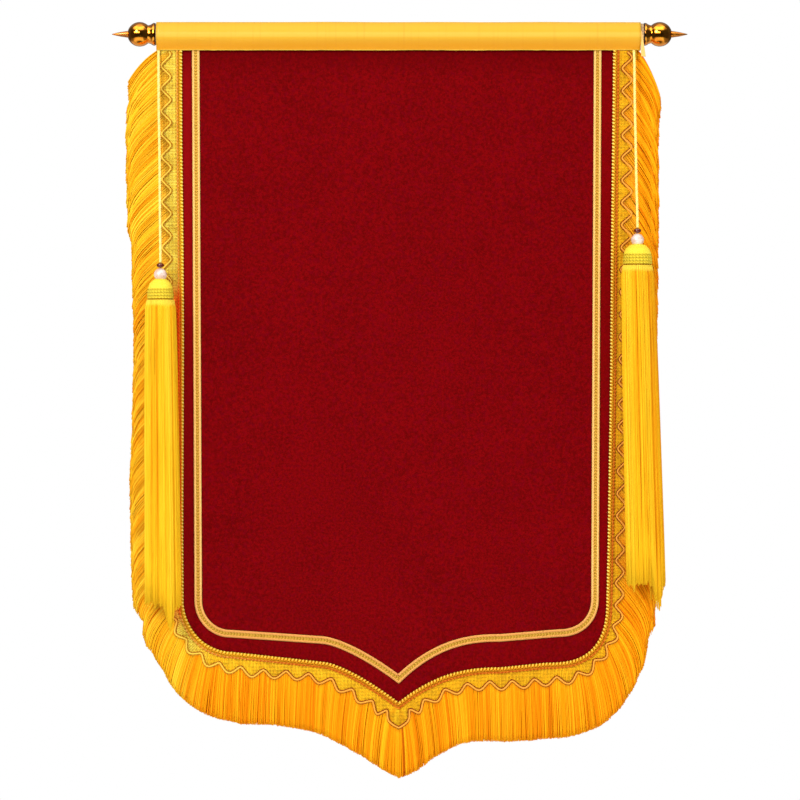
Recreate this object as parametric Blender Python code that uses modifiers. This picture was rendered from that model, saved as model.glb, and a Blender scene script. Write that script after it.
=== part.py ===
# Honor banner: a velvet panel hung from a rod, with a gold fringe, two tassels and two finials.
# Metres, +Z up, the front towards -Y. The origin is the middle of the rod's axis.

import math
import random
from bisect import bisect_right
from collections import namedtuple

import bmesh
import bpy
from mathutils import Vector

COLLECTION = "honor_banner"

# Air left between solids that touch on the real banner
GAP = 0.0003

# Rod and sleeve. The rod sticks out a little further on the right.
ROD_RADIUS = 0.0100
ROD_LENGTH = 0.4532
ROD_SHIFT = 0.0011
ROD_SIDES = 24
SLEEVE_LENGTH = 0.4500
SLEEVE_FOOT = 0.0151
SATIN = 0.0010
LIP_HEIGHT = 0.0011
SLEEVE_ARC_STEPS = 22

# Thickness of the sheets and trims, and how far their tops reach down from the rod
VELVET = 0.0020
HEADING = 0.0015
BRAID = 0.0010
TOP_DROP = 0.0120

# Front faces, counted back to front
PANEL_FRONT = -VELVET / 2
HEADING_FRONT = PANEL_FRONT - GAP - HEADING
LIP_FRONT = HEADING_FRONT - GAP - SATIN

# Widths across the trims
HEADING_WIDTH = 0.0215
BRAID_WIDTH = 0.0075
PANEL_UNDER_HEADING = 0.0160

# One side of an outline. "top" and "low" are its distances from the middle at the rod and at the
# corner, "turn" is the drop where the corner starts, "dip" is how much the lower edge falls from
# the corner to where the middle point starts, "point_width" from the middle.
Side = namedtuple("Side", "top low turn corner_width corner_height corner_power "
                          "dip point_width point_power")
EDGE_SIDES = (
    Side(0.2000, 0.1986, 0.5270, 0.0437, 0.0484, 2.0, 0.0095, 0.0684, 1.35),
    Side(0.2004, 0.1933, 0.5242, 0.0558, 0.0605, 2.7, 0.0045, 0.0947, 2.30),
)
EDGE_POINT_DROP = 0.6210
BRAID_SIDES = (
    Side(0.1885, 0.1862, 0.5261, 0.0298, 0.0312, 2.0, 0.0060, 0.0707, 1.45),
    Side(0.1852, 0.1827, 0.5242, 0.0335, 0.0325, 2.2, 0.0045, 0.0944, 2.40),
)
BRAID_POINT_DROP = 0.5993
CORNER_STEPS = 9
POINT_STEPS = 6

# Cord laid in waves on the heading, with an outer bend at the banner's lowest point. The first
# bends are the inner ones next to the ends of its trail, at these distances from the ends.
WAVE_PITCH = 0.0209
WAVE_FIRST_BEND_LEFT = 0.0069
WAVE_FIRST_BEND_RIGHT = 0.0199
WAVE_SWING = 0.0039
WAVE_MIDDLE = 0.0153
WAVE_CORD_RADIUS = 0.0012
WAVE_STEPS = 6
WAVE_FAN = 0.0080

# Fringe: locks on a narrow strip behind the heading's outer edge
FRINGE_LOCKS = 200
FRINGE_FAN = 0.0150
STRIP_WIDTH = 0.0048
STRIP_THICKNESS = 0.0018
STRIP_MIDDLE = -0.0001
DROOP_STEPS = 8
# How the fringe hangs. "at" is the share of the way round from the top left, "length" is the
# locks' length there, "first" and "last" the share of "down" in their direction at root and end.
# "bend" is 1 where a lock bends evenly and more where it bends late. The corners' locks were cut
# shorter, and the right side hangs closer than the left.
Hang = namedtuple("Hang", "at length first last bend")
HANGS = (
    Hang(0.00, 0.0540, 0.52, 1.00, 3.0),
    Hang(0.03, 0.0500, 0.46, 1.00, 3.0),
    Hang(0.07, 0.0480, 0.45, 1.00, 3.0),
    Hang(0.10, 0.0443, 0.45, 1.00, 3.0),
    Hang(0.20, 0.0420, 0.45, 1.00, 3.0),
    Hang(0.26, 0.0455, 0.45, 1.00, 3.0),
    Hang(0.30, 0.0443, 0.45, 1.00, 3.0),
    Hang(0.32, 0.0410, 0.45, 0.95, 1.0),
    Hang(0.34, 0.0310, 0.60, 0.95, 1.0),
    Hang(0.36, 0.0310, 0.55, 0.75, 1.0),
    Hang(0.38, 0.0365, 0.50, 0.70, 1.0),
    Hang(0.40, 0.0410, 0.50, 0.80, 1.0),
    Hang(0.44, 0.0415, 0.60, 0.85, 1.0),
    Hang(0.46, 0.0465, 0.70, 0.90, 1.0),
    Hang(0.49, 0.0480, 0.70, 0.90, 1.0),
    Hang(0.50, 0.0445, 0.70, 0.90, 1.0),
    Hang(0.51, 0.0485, 0.70, 0.90, 1.0),
    Hang(0.52, 0.0485, 0.70, 0.90, 1.0),
    Hang(0.54, 0.0455, 0.60, 0.85, 1.0),
    Hang(0.60, 0.0475, 0.50, 0.80, 1.0),
    Hang(0.62, 0.0465, 0.50, 0.80, 1.0),
    Hang(0.64, 0.0440, 0.60, 0.85, 1.0),
    Hang(0.66, 0.0420, 0.50, 0.95, 1.0),
    Hang(0.70, 0.0465, 0.58, 1.00, 2.5),
    Hang(1.00, 0.0465, 0.58, 1.00, 2.5),
)
# One row for each section of a lock: share of its length, half width in lock spacings, thickness,
# and how far it leans forwards, or on every second lock backwards
LockRing = namedtuple("LockRing", "share half_width thickness lean")
LOCK_RINGS = (
    LockRing(0.10, 0.45, 0.0014, 0.0006),
    LockRing(0.52, 0.62, 0.0022, 0.0016),
    LockRing(1.00, 0.26, 0.0010, 0.0017),
)
SHORTEST_LOCK = 0.93
LONGEST_LOCK = 1.02

# Finial: distance out from the rod's end, and radius. The ball comes between the two lists.
FINIAL_COLLAR = ((0.0000, 0.0100), (0.0006, 0.0105), (0.0018, 0.0106), (0.0030, 0.0100),
                 (0.0048, 0.0089), (0.0066, 0.0084))
FINIAL_BALL_CENTRE = 0.0149
FINIAL_BALL_RADIUS = 0.0114
FINIAL_BALL_STEPS = 9
FINIAL_SPIKE = ((0.0264, 0.0031), (0.0290, 0.0027), (0.0330, 0.0021), (0.0370, 0.0012),
                (0.0404, 0.0004), (0.0409, 0.0000))
FINIAL_SIDES = 20

# Tassels. "top" is the drop of the head's top rim.
Tassel = namedtuple("Tassel", "side x top head_radius skirt_radius low_radius length drift")
TASSELS = (
    Tassel("left", -0.2203, 0.2286, 0.0123, 0.0136, 0.0169, 0.284, 0.0025),
    Tassel("right", 0.2211, 0.1965, 0.0136, 0.0144, 0.0180, 0.303, 0.0080),
)
TASSEL_DEPTH = -0.0204
TASSEL_SIDES = 20
HEAD_HEIGHT = 0.0181
# One row for each ring of the dome: share of the head's radius, share of its height
HEAD_DOME = ((0.55, 0.02), (0.80, 0.20), (0.95, 0.48), (1.00, 0.80), (1.00, 0.96))
GROOVE_DEPTH = 0.0008
RIM_HEIGHT = 0.0016
OUTER_LOCK_DEPTH = 0.0040
INNER_LOCK_DEPTH = 0.0044
# One row for each section of a tassel's lock: share of its length, width, skirt flattening
SkirtRing = namedtuple("SkirtRing", "share width flatten")
SKIRT_RINGS = (
    SkirtRing(0.03, 0.84, 0.98),
    SkirtRing(0.30, 0.86, 0.82),
    SkirtRing(0.75, 0.86, 0.76),
    SkirtRing(1.00, 0.55, 0.74),
)
INNER_SKIRT_SHARE = 0.95
SHORTEST_SKIRT_LOCK = 0.93

# Beads and the cords above them
BEAD_RADIUS = 0.0060
BEAD_SEAT_RADIUS = BEAD_RADIUS + 1.3 * GAP
BEAD_SEAT_ANGLE = 0.80
BEAD_SEAT_STEPS = 2
SPACER_RADIUS = 0.0036
SPACER_HEIGHT = 0.0048
CORD_RADIUS = 0.0012
CORD_POINT_SPACING = 0.0060
CORD_ROUTES = {
    "left": ((-0.2228, -0.0043, -0.0155), (-0.2228, -0.0052, -0.0190), (-0.2227, -0.0072, -0.0250),
             (-0.2224, -0.0102, -0.0650), (-0.2214, -0.0140, -0.1150), (-0.2208, -0.0181, -0.1700),
             (-0.2203, -0.0201, -0.2020), (-0.2203, -0.0204, -0.2127)),
    "right": ((0.2187, -0.0050, -0.0155), (0.2187, -0.0069, -0.0180), (0.2188, -0.0086, -0.0225),
              (0.2191, -0.0110, -0.0600), (0.2197, -0.0147, -0.1000), (0.2204, -0.0184, -0.1450),
              (0.2210, -0.0201, -0.1700), (0.2211, -0.0204, -0.1806)),
}

# Colour, roughness and metallic value of each material
Finish = namedtuple("Finish", "colour roughness metallic")
FINISHES = {
    "wood": Finish((0.45, 0.30, 0.16), 0.60, 0.0),
    "satin": Finish((0.95, 0.60, 0.06), 0.40, 0.0),
    "velvet": Finish((0.28, 0.005, 0.01), 0.90, 0.0),
    "braid": Finish((0.70, 0.42, 0.12), 0.55, 0.0),
    "gimp": Finish((0.85, 0.48, 0.06), 0.65, 0.0),
    "silk": Finish((0.95, 0.45, 0.02), 0.50, 0.0),
    "pale_silk": Finish((0.93, 0.66, 0.08), 0.50, 0.0),
    "gold": Finish((0.90, 0.60, 0.18), 0.18, 1.0),
    "pearl": Finish((0.93, 0.86, 0.82), 0.25, 0.0),
    "brown": Finish((0.12, 0.03, 0.02), 0.35, 0.0),
}


def clear_scene():
    for item in list(bpy.data.objects):
        bpy.data.objects.remove(item, do_unlink=True)


def material(finish_name, node_name):
    """A new material in one of the finishes, for one node."""
    finish = FINISHES[finish_name]
    made = bpy.data.materials.new(node_name)
    made.use_nodes = True
    shader = made.node_tree.nodes["Principled BSDF"]
    shader.inputs["Base Color"].default_value = (*finish.colour, 1.0)
    shader.inputs["Roughness"].default_value = finish.roughness
    shader.inputs["Metallic"].default_value = finish.metallic
    return made


def add_object(name, data, finish_name):
    """Put a mesh or a curve into the banner's collection."""
    made = bpy.data.objects.new(name, data)
    made.data.materials.append(material(finish_name, name))
    bpy.data.collections[COLLECTION].objects.link(made)
    return made


def add_from_bmesh(name, bm, finish_name):
    """Finish a bmesh as an object with its faces pointing out."""
    bmesh.ops.recalc_face_normals(bm, faces=bm.faces)
    mesh = bpy.data.meshes.new(name)
    bm.to_mesh(mesh)
    bm.free()
    mesh.shade_smooth()
    mesh.set_sharp_from_angle(angle=math.radians(40))
    return add_object(name, mesh, finish_name)


# Outlines in the banner's plane, as two-part vectors: x, z


def half_outline(side, point_drop):
    """One side of an outline from its top to just before the middle, with x counted outwards."""
    foot_x = side.low - side.corner_width
    foot_drop = side.turn + side.corner_height
    trail = [Vector((side.top, -TOP_DROP))]
    for step in range(CORNER_STEPS + 1):
        angle = math.pi / 2 * step / CORNER_STEPS
        across = math.cos(angle) ** (2 / side.corner_power) if step < CORNER_STEPS else 0.0
        down = math.sin(angle) ** (2 / side.corner_power)
        trail.append(Vector((foot_x + side.corner_width * across,
                             -side.turn - side.corner_height * down)))
    start_drop = foot_drop + side.dip
    for step in range(POINT_STEPS):
        share = step / POINT_STEPS
        drop = start_drop + (point_drop - start_drop) * share ** side.point_power
        trail.append(Vector((side.point_width * (1 - share), -drop)))
    return trail


def outline(sides, point_drop):
    """The open outline from the top left, down and round the middle point, to the top right."""
    left = [Vector((-place.x, place.y)) for place in half_outline(sides[0], point_drop)]
    right = half_outline(sides[1], point_drop)
    return left + [Vector((0.0, -point_drop))] + right[::-1]


def outward(run):
    """The direction out of the banner, square to a run along its outline."""
    return Vector((run.y, -run.x)).normalized()


def offset(trail, distance):
    """The outline moved outwards, with mitred corners."""
    moved = []
    for index, place in enumerate(trail):
        before = outward(place - trail[index - 1]) if index else None
        after = outward(trail[index + 1] - place) if index + 1 < len(trail) else before
        before = before or after
        middle = (before + after).normalized()
        moved.append(place + middle * (distance / middle.dot(before)))
    return moved


class Trail:
    """An outline measured by the distance along it."""

    def __init__(self, points):
        self.points = points
        self.marks = [0.0]
        for start, end in zip(points, points[1:]):
            self.marks.append(self.marks[-1] + (end - start).length)
        self.length = self.marks[-1]

    def at(self, distance):
        distance = min(max(distance, 0.0), self.length)
        index = min(bisect_right(self.marks, distance), len(self.points) - 1)
        start, end = self.marks[index - 1], self.marks[index]
        share = (distance - start) / (end - start)
        return self.points[index - 1].lerp(self.points[index], share)

    def out(self, distance, reach):
        return outward(self.at(distance + reach) - self.at(distance - reach))


# Flat sheets and trims


def flat_piece(name, boundary, front, thickness, finish_name):
    """A flat sheet with the given closed boundary, standing in the banner's plane."""
    curve = bpy.data.curves.new(name, "CURVE")
    curve.dimensions = "2D"
    curve.fill_mode = "BOTH"
    curve.extrude = thickness / 2
    spline = curve.splines.new("POLY")
    spline.points.add(len(boundary) - 1)
    for point, place in zip(spline.points, boundary):
        point.co = (place.x, place.y, 0.0, 1.0)
    spline.use_cyclic_u = True
    made = add_object(name, curve, finish_name)
    made.rotation_euler = (math.pi / 2, 0.0, 0.0)
    made.location.y = front + thickness / 2
    return made


def make_sheets(edge):
    """The velvet panel, the gold line and the fringe's heading."""
    flat_piece("velvet_panel", offset(edge, PANEL_UNDER_HEADING), PANEL_FRONT, VELVET, "velvet")
    line = outline(BRAID_SIDES, BRAID_POINT_DROP)
    band = offset(line, BRAID_WIDTH / 2) + offset(line, -BRAID_WIDTH / 2)[::-1]
    flat_piece("gold_line", band, PANEL_FRONT - GAP - BRAID, BRAID, "braid")
    band = offset(edge, HEADING_WIDTH) + edge[::-1]
    flat_piece("fringe_heading", band, HEADING_FRONT, HEADING, "gimp")


def tube(name, places, radius, resolution, finish_name):
    """A round cord through the given places."""
    curve = bpy.data.curves.new(name, "CURVE")
    curve.dimensions = "3D"
    curve.bevel_depth = radius
    curve.bevel_resolution = resolution
    curve.use_fill_caps = True
    spline = curve.splines.new("POLY")
    spline.points.add(len(places) - 1)
    for point, place in zip(spline.points, places):
        point.co = (*place, 1.0)
    return add_object(name, curve, finish_name)


def wave_places(half, first_bend, start):
    """Distances from the lowest point along one half of the trail, each with the swing there."""
    span = half - first_bend
    pitch = span / (round(span / WAVE_PITCH - 0.5) + 0.5)
    last = (half - start) / pitch
    turns = [step / WAVE_STEPS for step in range(int(last * WAVE_STEPS) + 1)] + [last]
    return [(turn * pitch, WAVE_SWING * math.cos(2 * math.pi * turn)) for turn in turns]


def make_heading_cord(edge):
    """The cord that runs in waves along the heading, clear of the sleeve's lip."""
    trail = Trail(offset(edge, WAVE_MIDDLE))
    lowest = trail.marks[len(trail.marks) // 2]
    start = SLEEVE_FOOT - TOP_DROP + GAP + WAVE_CORD_RADIUS
    left = wave_places(lowest, WAVE_FIRST_BEND_LEFT, start)
    right = wave_places(trail.length - lowest, WAVE_FIRST_BEND_RIGHT, start)
    depth = HEADING_FRONT - GAP - WAVE_CORD_RADIUS
    places = []
    for distance, swing in ([(lowest - along, swing) for along, swing in left[:0:-1]]
                            + [(lowest + along, swing) for along, swing in right]):
        place = trail.at(distance) + trail.out(distance, WAVE_FAN) * swing
        places.append((place.x, depth, place.y))
    tube("heading_cord", places, WAVE_CORD_RADIUS, 0, "gimp")


# Locks grown out of a face, one extruded step at a time


def grow(bm, face, places):
    """Extrude one face and put its corners, in their order, at the given places."""
    moved = bmesh.ops.extrude_discrete_faces(bm, faces=[face])["faces"][0]
    for vert, place in zip(moved.verts, places):
        vert.co = place
    return moved


def hang_at(share):
    """The fringe's hang at a share of the way round, between two rows of its table."""
    start, end = next(pair for pair in zip(HANGS, HANGS[1:]) if share <= pair[1].at)
    part = (share - start.at) / (end.at - start.at)
    return Hang(*[low + (high - low) * part for low, high in zip(start, end)])


def strand_place(trail, distance, along):
    """Where a strand with its root on the trail has come to, as it droops from its root."""
    place = trail.at(distance).copy()
    out = trail.out(distance, FRINGE_FAN)
    hang = hang_at(distance / trail.length)
    step = along / DROOP_STEPS
    for index in range(DROOP_STEPS):
        past = min((index + 0.5) * step / hang.length, 1.0)
        droop = hang.first + (hang.last - hang.first) * past ** hang.bend
        place += (out * (1 - droop) + Vector((0.0, -1.0)) * droop).normalized() * step
    return place


def make_fringe(edge):
    """One strip along the heading's outer edge, with a drooping lock from each of its steps."""
    trail = Trail(offset(edge, HEADING_WIDTH))
    first = SLEEVE_FOOT - TOP_DROP + GAP
    spacing = (trail.length - 2 * first) / FRINGE_LOCKS
    marks = [0.0] + [first + spacing * step for step in range(FRINGE_LOCKS + 1)] + [trail.length]
    half = STRIP_THICKNESS / 2
    sections = []
    for mark in marks:
        outer = trail.at(mark)
        inner = outer - trail.out(mark, FRINGE_FAN) * STRIP_WIDTH
        sections.append([Vector((place.x, STRIP_MIDDLE + shift, place.y))
                         for place, shift in ((inner, -half), (outer, -half), (outer, half),
                                              (inner, half))])
    bm = bmesh.new()
    end = bm.faces.new([bm.verts.new(place) for place in sections[0]])
    rim = list(end.edges)
    roots = []
    for section in sections[1:]:
        before = list(end.verts)
        end = grow(bm, end, section)
        roots.append(((before[1], before[2]), (end.verts[1], end.verts[2])))
    chance = random.Random(7)
    for lock, (above, below) in enumerate(roots[1:-1]):
        face = bm.faces.get((*above, below[1], below[0]))
        middle = first + spacing * (lock + 0.5)
        length = hang_at(middle / trail.length).length * chance.uniform(SHORTEST_LOCK, LONGEST_LOCK)
        lean = 1 if lock % 2 else -1
        corners = [(-1 if vert in above else 1, -1 if vert.co.y < STRIP_MIDDLE else 1)
                   for vert in face.verts]
        for ring in LOCK_RINGS:
            along = length * ring.share
            places = []
            for side, layer in corners:
                at = middle + side * ring.half_width * spacing
                place = strand_place(trail, at, along)
                depth = STRIP_MIDDLE + lean * ring.lean + layer * ring.thickness / 2
                places.append((place.x, depth, place.y))
            face = grow(bm, face, places)
    bmesh.ops.holes_fill(bm, edges=rim)
    add_from_bmesh("fringe", bm, "silk")


# Rod, sleeve and finials


def make_rod():
    bm = bmesh.new()
    bmesh.ops.create_cone(bm, cap_ends=True, segments=ROD_SIDES, radius1=ROD_RADIUS,
                          radius2=ROD_RADIUS, depth=ROD_LENGTH)
    rod = add_from_bmesh("rod", bm, "wood")
    rod.rotation_euler = (0.0, math.pi / 2, 0.0)
    rod.location.x = ROD_SHIFT


def tangent_angle(place, radius, turn):
    """Angle round the origin at which a line from the place touches a circle."""
    return math.atan2(place.y, place.x) + turn * math.acos(radius / place.length)


def make_sleeve():
    """A satin strip folded over the rod, its lips flat on the heading and on the panel's back."""
    radius = ROD_RADIUS + 1.2 * GAP + SATIN / 2
    front = Vector((LIP_FRONT + SATIN / 2, -SLEEVE_FOOT + LIP_HEIGHT))
    back = Vector((VELVET / 2 + GAP + SATIN / 2, -SLEEVE_FOOT + LIP_HEIGHT))
    start = tangent_angle(front, radius, -1)
    end = tangent_angle(back, radius, 1) - 2 * math.pi * (start < 0)
    section = [Vector((front.x, -SLEEVE_FOOT)), front]
    for step in range(SLEEVE_ARC_STEPS + 1):
        angle = start + (end - start) * step / SLEEVE_ARC_STEPS
        section.append(Vector((math.cos(angle), math.sin(angle))) * radius)
    section += [back, Vector((back.x, -SLEEVE_FOOT))]
    bm = bmesh.new()
    verts = [bm.verts.new((-SLEEVE_LENGTH / 2, place.x, place.y)) for place in section]
    edges = [bm.edges.new(pair) for pair in zip(verts, verts[1:])]
    made = bmesh.ops.extrude_edge_only(bm, edges=edges)["geom"]
    moved = [item for item in made if isinstance(item, bmesh.types.BMVert)]
    bmesh.ops.translate(bm, verts=moved, vec=(SLEEVE_LENGTH, 0.0, 0.0))
    sleeve = add_from_bmesh("sleeve", bm, "satin")
    wall = sleeve.modifiers.new("satin", "SOLIDIFY")
    wall.thickness = SATIN
    wall.offset = 0.0
    wall.use_even_offset = True


def finial_profile():
    """Distance out and radius of the finial's outer side, from the spike's tip to its foot."""
    neck = FINIAL_COLLAR[-1][1]
    spike = FINIAL_SPIKE[0][1]
    start = math.asin(spike / FINIAL_BALL_RADIUS)
    end = math.pi - math.asin(neck / FINIAL_BALL_RADIUS)
    ball = []
    for step in range(FINIAL_BALL_STEPS + 1):
        angle = start + (end - start) * step / FINIAL_BALL_STEPS
        ball.append((FINIAL_BALL_CENTRE + FINIAL_BALL_RADIUS * math.cos(angle),
                     FINIAL_BALL_RADIUS * math.sin(angle)))
    return list(FINIAL_SPIKE[::-1]) + ball + list(FINIAL_COLLAR[::-1]) + [(0.0, 0.0)]


def make_finials():
    """A turned cap on each end of the rod."""
    for side, turn in (("left", -1), ("right", 1)):
        mesh = bpy.data.meshes.new("finial_" + side)
        profile = finial_profile()
        edges = [(index, index + 1) for index in range(len(profile) - 1)]
        mesh.from_pydata([(radius, 0.0, out) for out, radius in profile], edges, [])
        finial = add_object("finial_" + side, mesh, "gold")
        screw = finial.modifiers.new("turned", "SCREW")
        screw.steps = FINIAL_SIDES
        screw.render_steps = FINIAL_SIDES
        screw.use_merge_vertices = True
        screw.merge_threshold = 0.00001
        screw.use_smooth_shade = True
        finial.rotation_euler = (0.0, turn * math.pi / 2, 0.0)
        finial.location.x = ROD_SHIFT + turn * (ROD_LENGTH / 2 + GAP)


# Tassels, their beads and cords


def bead_drop(tassel):
    """Drop of the bead's centre, which sits in a seat in the head's top."""
    return tassel.top - BEAD_SEAT_RADIUS * math.cos(BEAD_SEAT_ANGLE)


def tassel_profile(tassel):
    """Radius and height of the head, from its seat for the bead to the middle of its underside."""
    profile = []
    for step in range(BEAD_SEAT_STEPS + 1):
        angle = BEAD_SEAT_ANGLE * step / BEAD_SEAT_STEPS
        height = -bead_drop(tassel) - BEAD_SEAT_RADIUS * math.cos(angle)
        profile.append((BEAD_SEAT_RADIUS * math.sin(angle), height))
    for radius, height in HEAD_DOME:
        profile.append((radius * tassel.head_radius, -tassel.top - height * HEAD_HEIGHT))
    foot = -tassel.top - HEAD_HEIGHT
    profile.append((tassel.head_radius - GROOVE_DEPTH, foot))
    profile.append((tassel.skirt_radius - GROOVE_DEPTH / 2, foot - RIM_HEIGHT / 2))
    profile.append((tassel.skirt_radius, foot - RIM_HEIGHT))
    profile.append((tassel.skirt_radius - OUTER_LOCK_DEPTH, foot - RIM_HEIGHT))
    profile.append((tassel.skirt_radius - OUTER_LOCK_DEPTH - INNER_LOCK_DEPTH, foot - RIM_HEIGHT))
    profile.append((0.0, foot - RIM_HEIGHT))
    return profile


def skirt_place(tassel, root, middle, share, drop, ring, inner):
    """Where a corner of a lock's root has moved to at a share of the way down the skirt."""
    radius = math.hypot(root.x, root.y)
    angle = math.atan2(root.y, root.x)
    swing = (angle - middle + math.pi) % (2 * math.pi) - math.pi
    angle = middle + swing * ring.width * (1.5 if inner else 1.0)
    radius += (tassel.low_radius - tassel.skirt_radius) * math.sqrt(share)
    return Vector((radius * math.cos(angle) + tassel.drift * share,
                   radius * math.sin(angle) * ring.flatten, root.z - drop))


def make_tassel(tassel, chance):
    """A woven dome with an outer and an inner ring of locks grown from its underside."""
    profile = tassel_profile(tassel)
    bm = bmesh.new()
    verts = [bm.verts.new((radius, 0.0, height)) for radius, height in profile]
    edges = [bm.edges.new(pair) for pair in zip(verts, verts[1:])]
    bmesh.ops.spin(bm, geom=verts + edges, cent=(0.0, 0.0, 0.0), axis=(0.0, 0.0, 1.0),
                   angle=2 * math.pi, steps=TASSEL_SIDES, use_merge=True)
    bmesh.ops.remove_doubles(bm, verts=bm.verts, dist=GAP / 10)
    underside = profile[-1][1]
    roots = [face for face in bm.faces if len(face.verts) == 4
             and all(abs(vert.co.z - underside) < GAP / 10 for vert in face.verts)]
    roots.sort(key=lambda face: (round(face.calc_center_median().xy.length, 4),
                                 math.atan2(face.calc_center_median().y,
                                            face.calc_center_median().x)))
    for index, face in enumerate(roots):
        inner = index < TASSEL_SIDES
        if inner and index % 2:
            continue
        centre = face.calc_center_median()
        middle = math.atan2(centre.y, centre.x)
        corners = [vert.co.copy() for vert in face.verts]
        length = tassel.length * chance.uniform(SHORTEST_SKIRT_LOCK, 1.0)
        if inner:
            length *= INNER_SKIRT_SHARE
        for ring in SKIRT_RINGS:
            places = [skirt_place(tassel, corner, middle, ring.share, length * ring.share,
                                  ring, inner) for corner in corners]
            face = grow(bm, face, places)
    made = add_from_bmesh("tassel_" + tassel.side, bm, "pale_silk")
    made.location = (tassel.x, TASSEL_DEPTH, 0.0)


def smooth_route(places, spacing):
    """Evenly spaced points on one smooth curve through a cord's places."""
    places = [Vector(place) for place in places]
    padded = [2 * places[0] - places[1]] + places + [2 * places[-1] - places[-2]]
    fine = []
    for before, start, end, after in zip(padded, padded[1:], padded[2:], padded[3:]):
        length = (end - start).length
        leave = ((end - start).normalized() + (start - before).normalized()).normalized() * length
        arrive = ((after - end).normalized() + (end - start).normalized()).normalized() * length
        for step in range(12):
            t = step / 12
            fine.append(start * (2 * t**3 - 3 * t**2 + 1) + leave * (t**3 - 2 * t**2 + t)
                        + end * (3 * t**2 - 2 * t**3) + arrive * (t**3 - t**2))
    fine.append(places[-1])
    trail = Trail(fine)
    count = round(trail.length / spacing)
    return [trail.at(trail.length * step / count) for step in range(count + 1)]


def make_bead(name, radius, height, centre, segments, finish_name):
    """A round bead, or a flattened one where its height is less than twice its radius."""
    bm = bmesh.new()
    bmesh.ops.create_uvsphere(bm, u_segments=segments, v_segments=segments // 2 + 1, radius=radius)
    bmesh.ops.scale(bm, vec=(1.0, 1.0, height / (2 * radius)), verts=bm.verts)
    bead = add_from_bmesh(name, bm, finish_name)
    bead.location = centre


def make_tassels():
    chance = random.Random(11)
    for tassel in TASSELS:
        make_tassel(tassel, chance)
        centre = Vector((tassel.x, TASSEL_DEPTH, -bead_drop(tassel)))
        make_bead("bead_" + tassel.side, BEAD_RADIUS, 2 * BEAD_RADIUS, centre, 14, "pearl")
        above = Vector((0.0, 0.0, BEAD_RADIUS + GAP + SPACER_HEIGHT / 2))
        make_bead("spacer_" + tassel.side, SPACER_RADIUS, SPACER_HEIGHT, centre + above, 10, "brown")
        route = smooth_route(CORD_ROUTES[tassel.side], CORD_POINT_SPACING)
        tube("tassel_cord_" + tassel.side, route, CORD_RADIUS, 2, "pale_silk")


def main():
    clear_scene()
    bpy.context.scene.collection.children.link(bpy.data.collections.new(COLLECTION))
    edge = outline(EDGE_SIDES, EDGE_POINT_DROP)
    make_rod()
    make_finials()
    make_sleeve()
    make_sheets(edge)
    make_heading_cord(edge)
    make_fringe(edge)
    make_tassels()


main()
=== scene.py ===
# Honor banner, dressed: velvet, satin, gimp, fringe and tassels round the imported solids
# Metres, +Z up, the front towards -Y, the origin in the middle of the rod's axis
import random
from bisect import bisect_right
from collections import namedtuple
from math import acos, asin, atan2, cos, pi, radians, sin, sqrt, tau

import bmesh
import bpy
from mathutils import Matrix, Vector, noise


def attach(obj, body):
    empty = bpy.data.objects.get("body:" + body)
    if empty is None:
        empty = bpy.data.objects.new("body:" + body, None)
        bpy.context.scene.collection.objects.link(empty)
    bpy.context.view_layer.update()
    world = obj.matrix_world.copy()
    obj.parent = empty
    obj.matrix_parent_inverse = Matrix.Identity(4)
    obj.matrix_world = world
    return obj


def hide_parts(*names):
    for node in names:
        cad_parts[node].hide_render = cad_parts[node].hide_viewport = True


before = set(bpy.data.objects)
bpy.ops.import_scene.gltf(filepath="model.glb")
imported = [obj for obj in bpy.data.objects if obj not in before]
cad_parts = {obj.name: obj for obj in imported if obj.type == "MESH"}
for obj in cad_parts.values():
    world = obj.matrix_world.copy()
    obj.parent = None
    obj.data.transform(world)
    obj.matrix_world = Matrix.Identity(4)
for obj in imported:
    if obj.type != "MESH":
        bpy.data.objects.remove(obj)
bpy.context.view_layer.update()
scene = bpy.context.scene


# Materials: sums on node values, and one method for every other node

class Value:
    def __init__(self, look, socket):
        self.look = look
        self.socket = socket

    def math(self, operation, *values):
        return self.look.node("Math", {"operation": operation}, dict(enumerate(values)))

    def __add__(self, other):
        return self.math("ADD", self, other)

    def __sub__(self, other):
        return self.math("SUBTRACT", self, other)

    def __rsub__(self, other):
        return self.math("SUBTRACT", other, self)

    def __mul__(self, other):
        return self.math("MULTIPLY", self, other)

    def __truediv__(self, other):
        return self.math("DIVIDE", self, other)

    def sine(self):
        return self.math("SINE", self)

    def wave(self, pitch):
        return (self * (tau / pitch)).sine()

    def size(self):
        return self.math("ABSOLUTE", self)

    def above(self, start, end):  # 0 below start, 1 above end, smooth between
        return self.look.node("MapRange", {"interpolation_type": "SMOOTHSTEP"},
                              {"Value": self, "From Min": start, "From Max": end})

    def below(self, start, end):
        return 1 - self.above(start, end)


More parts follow.
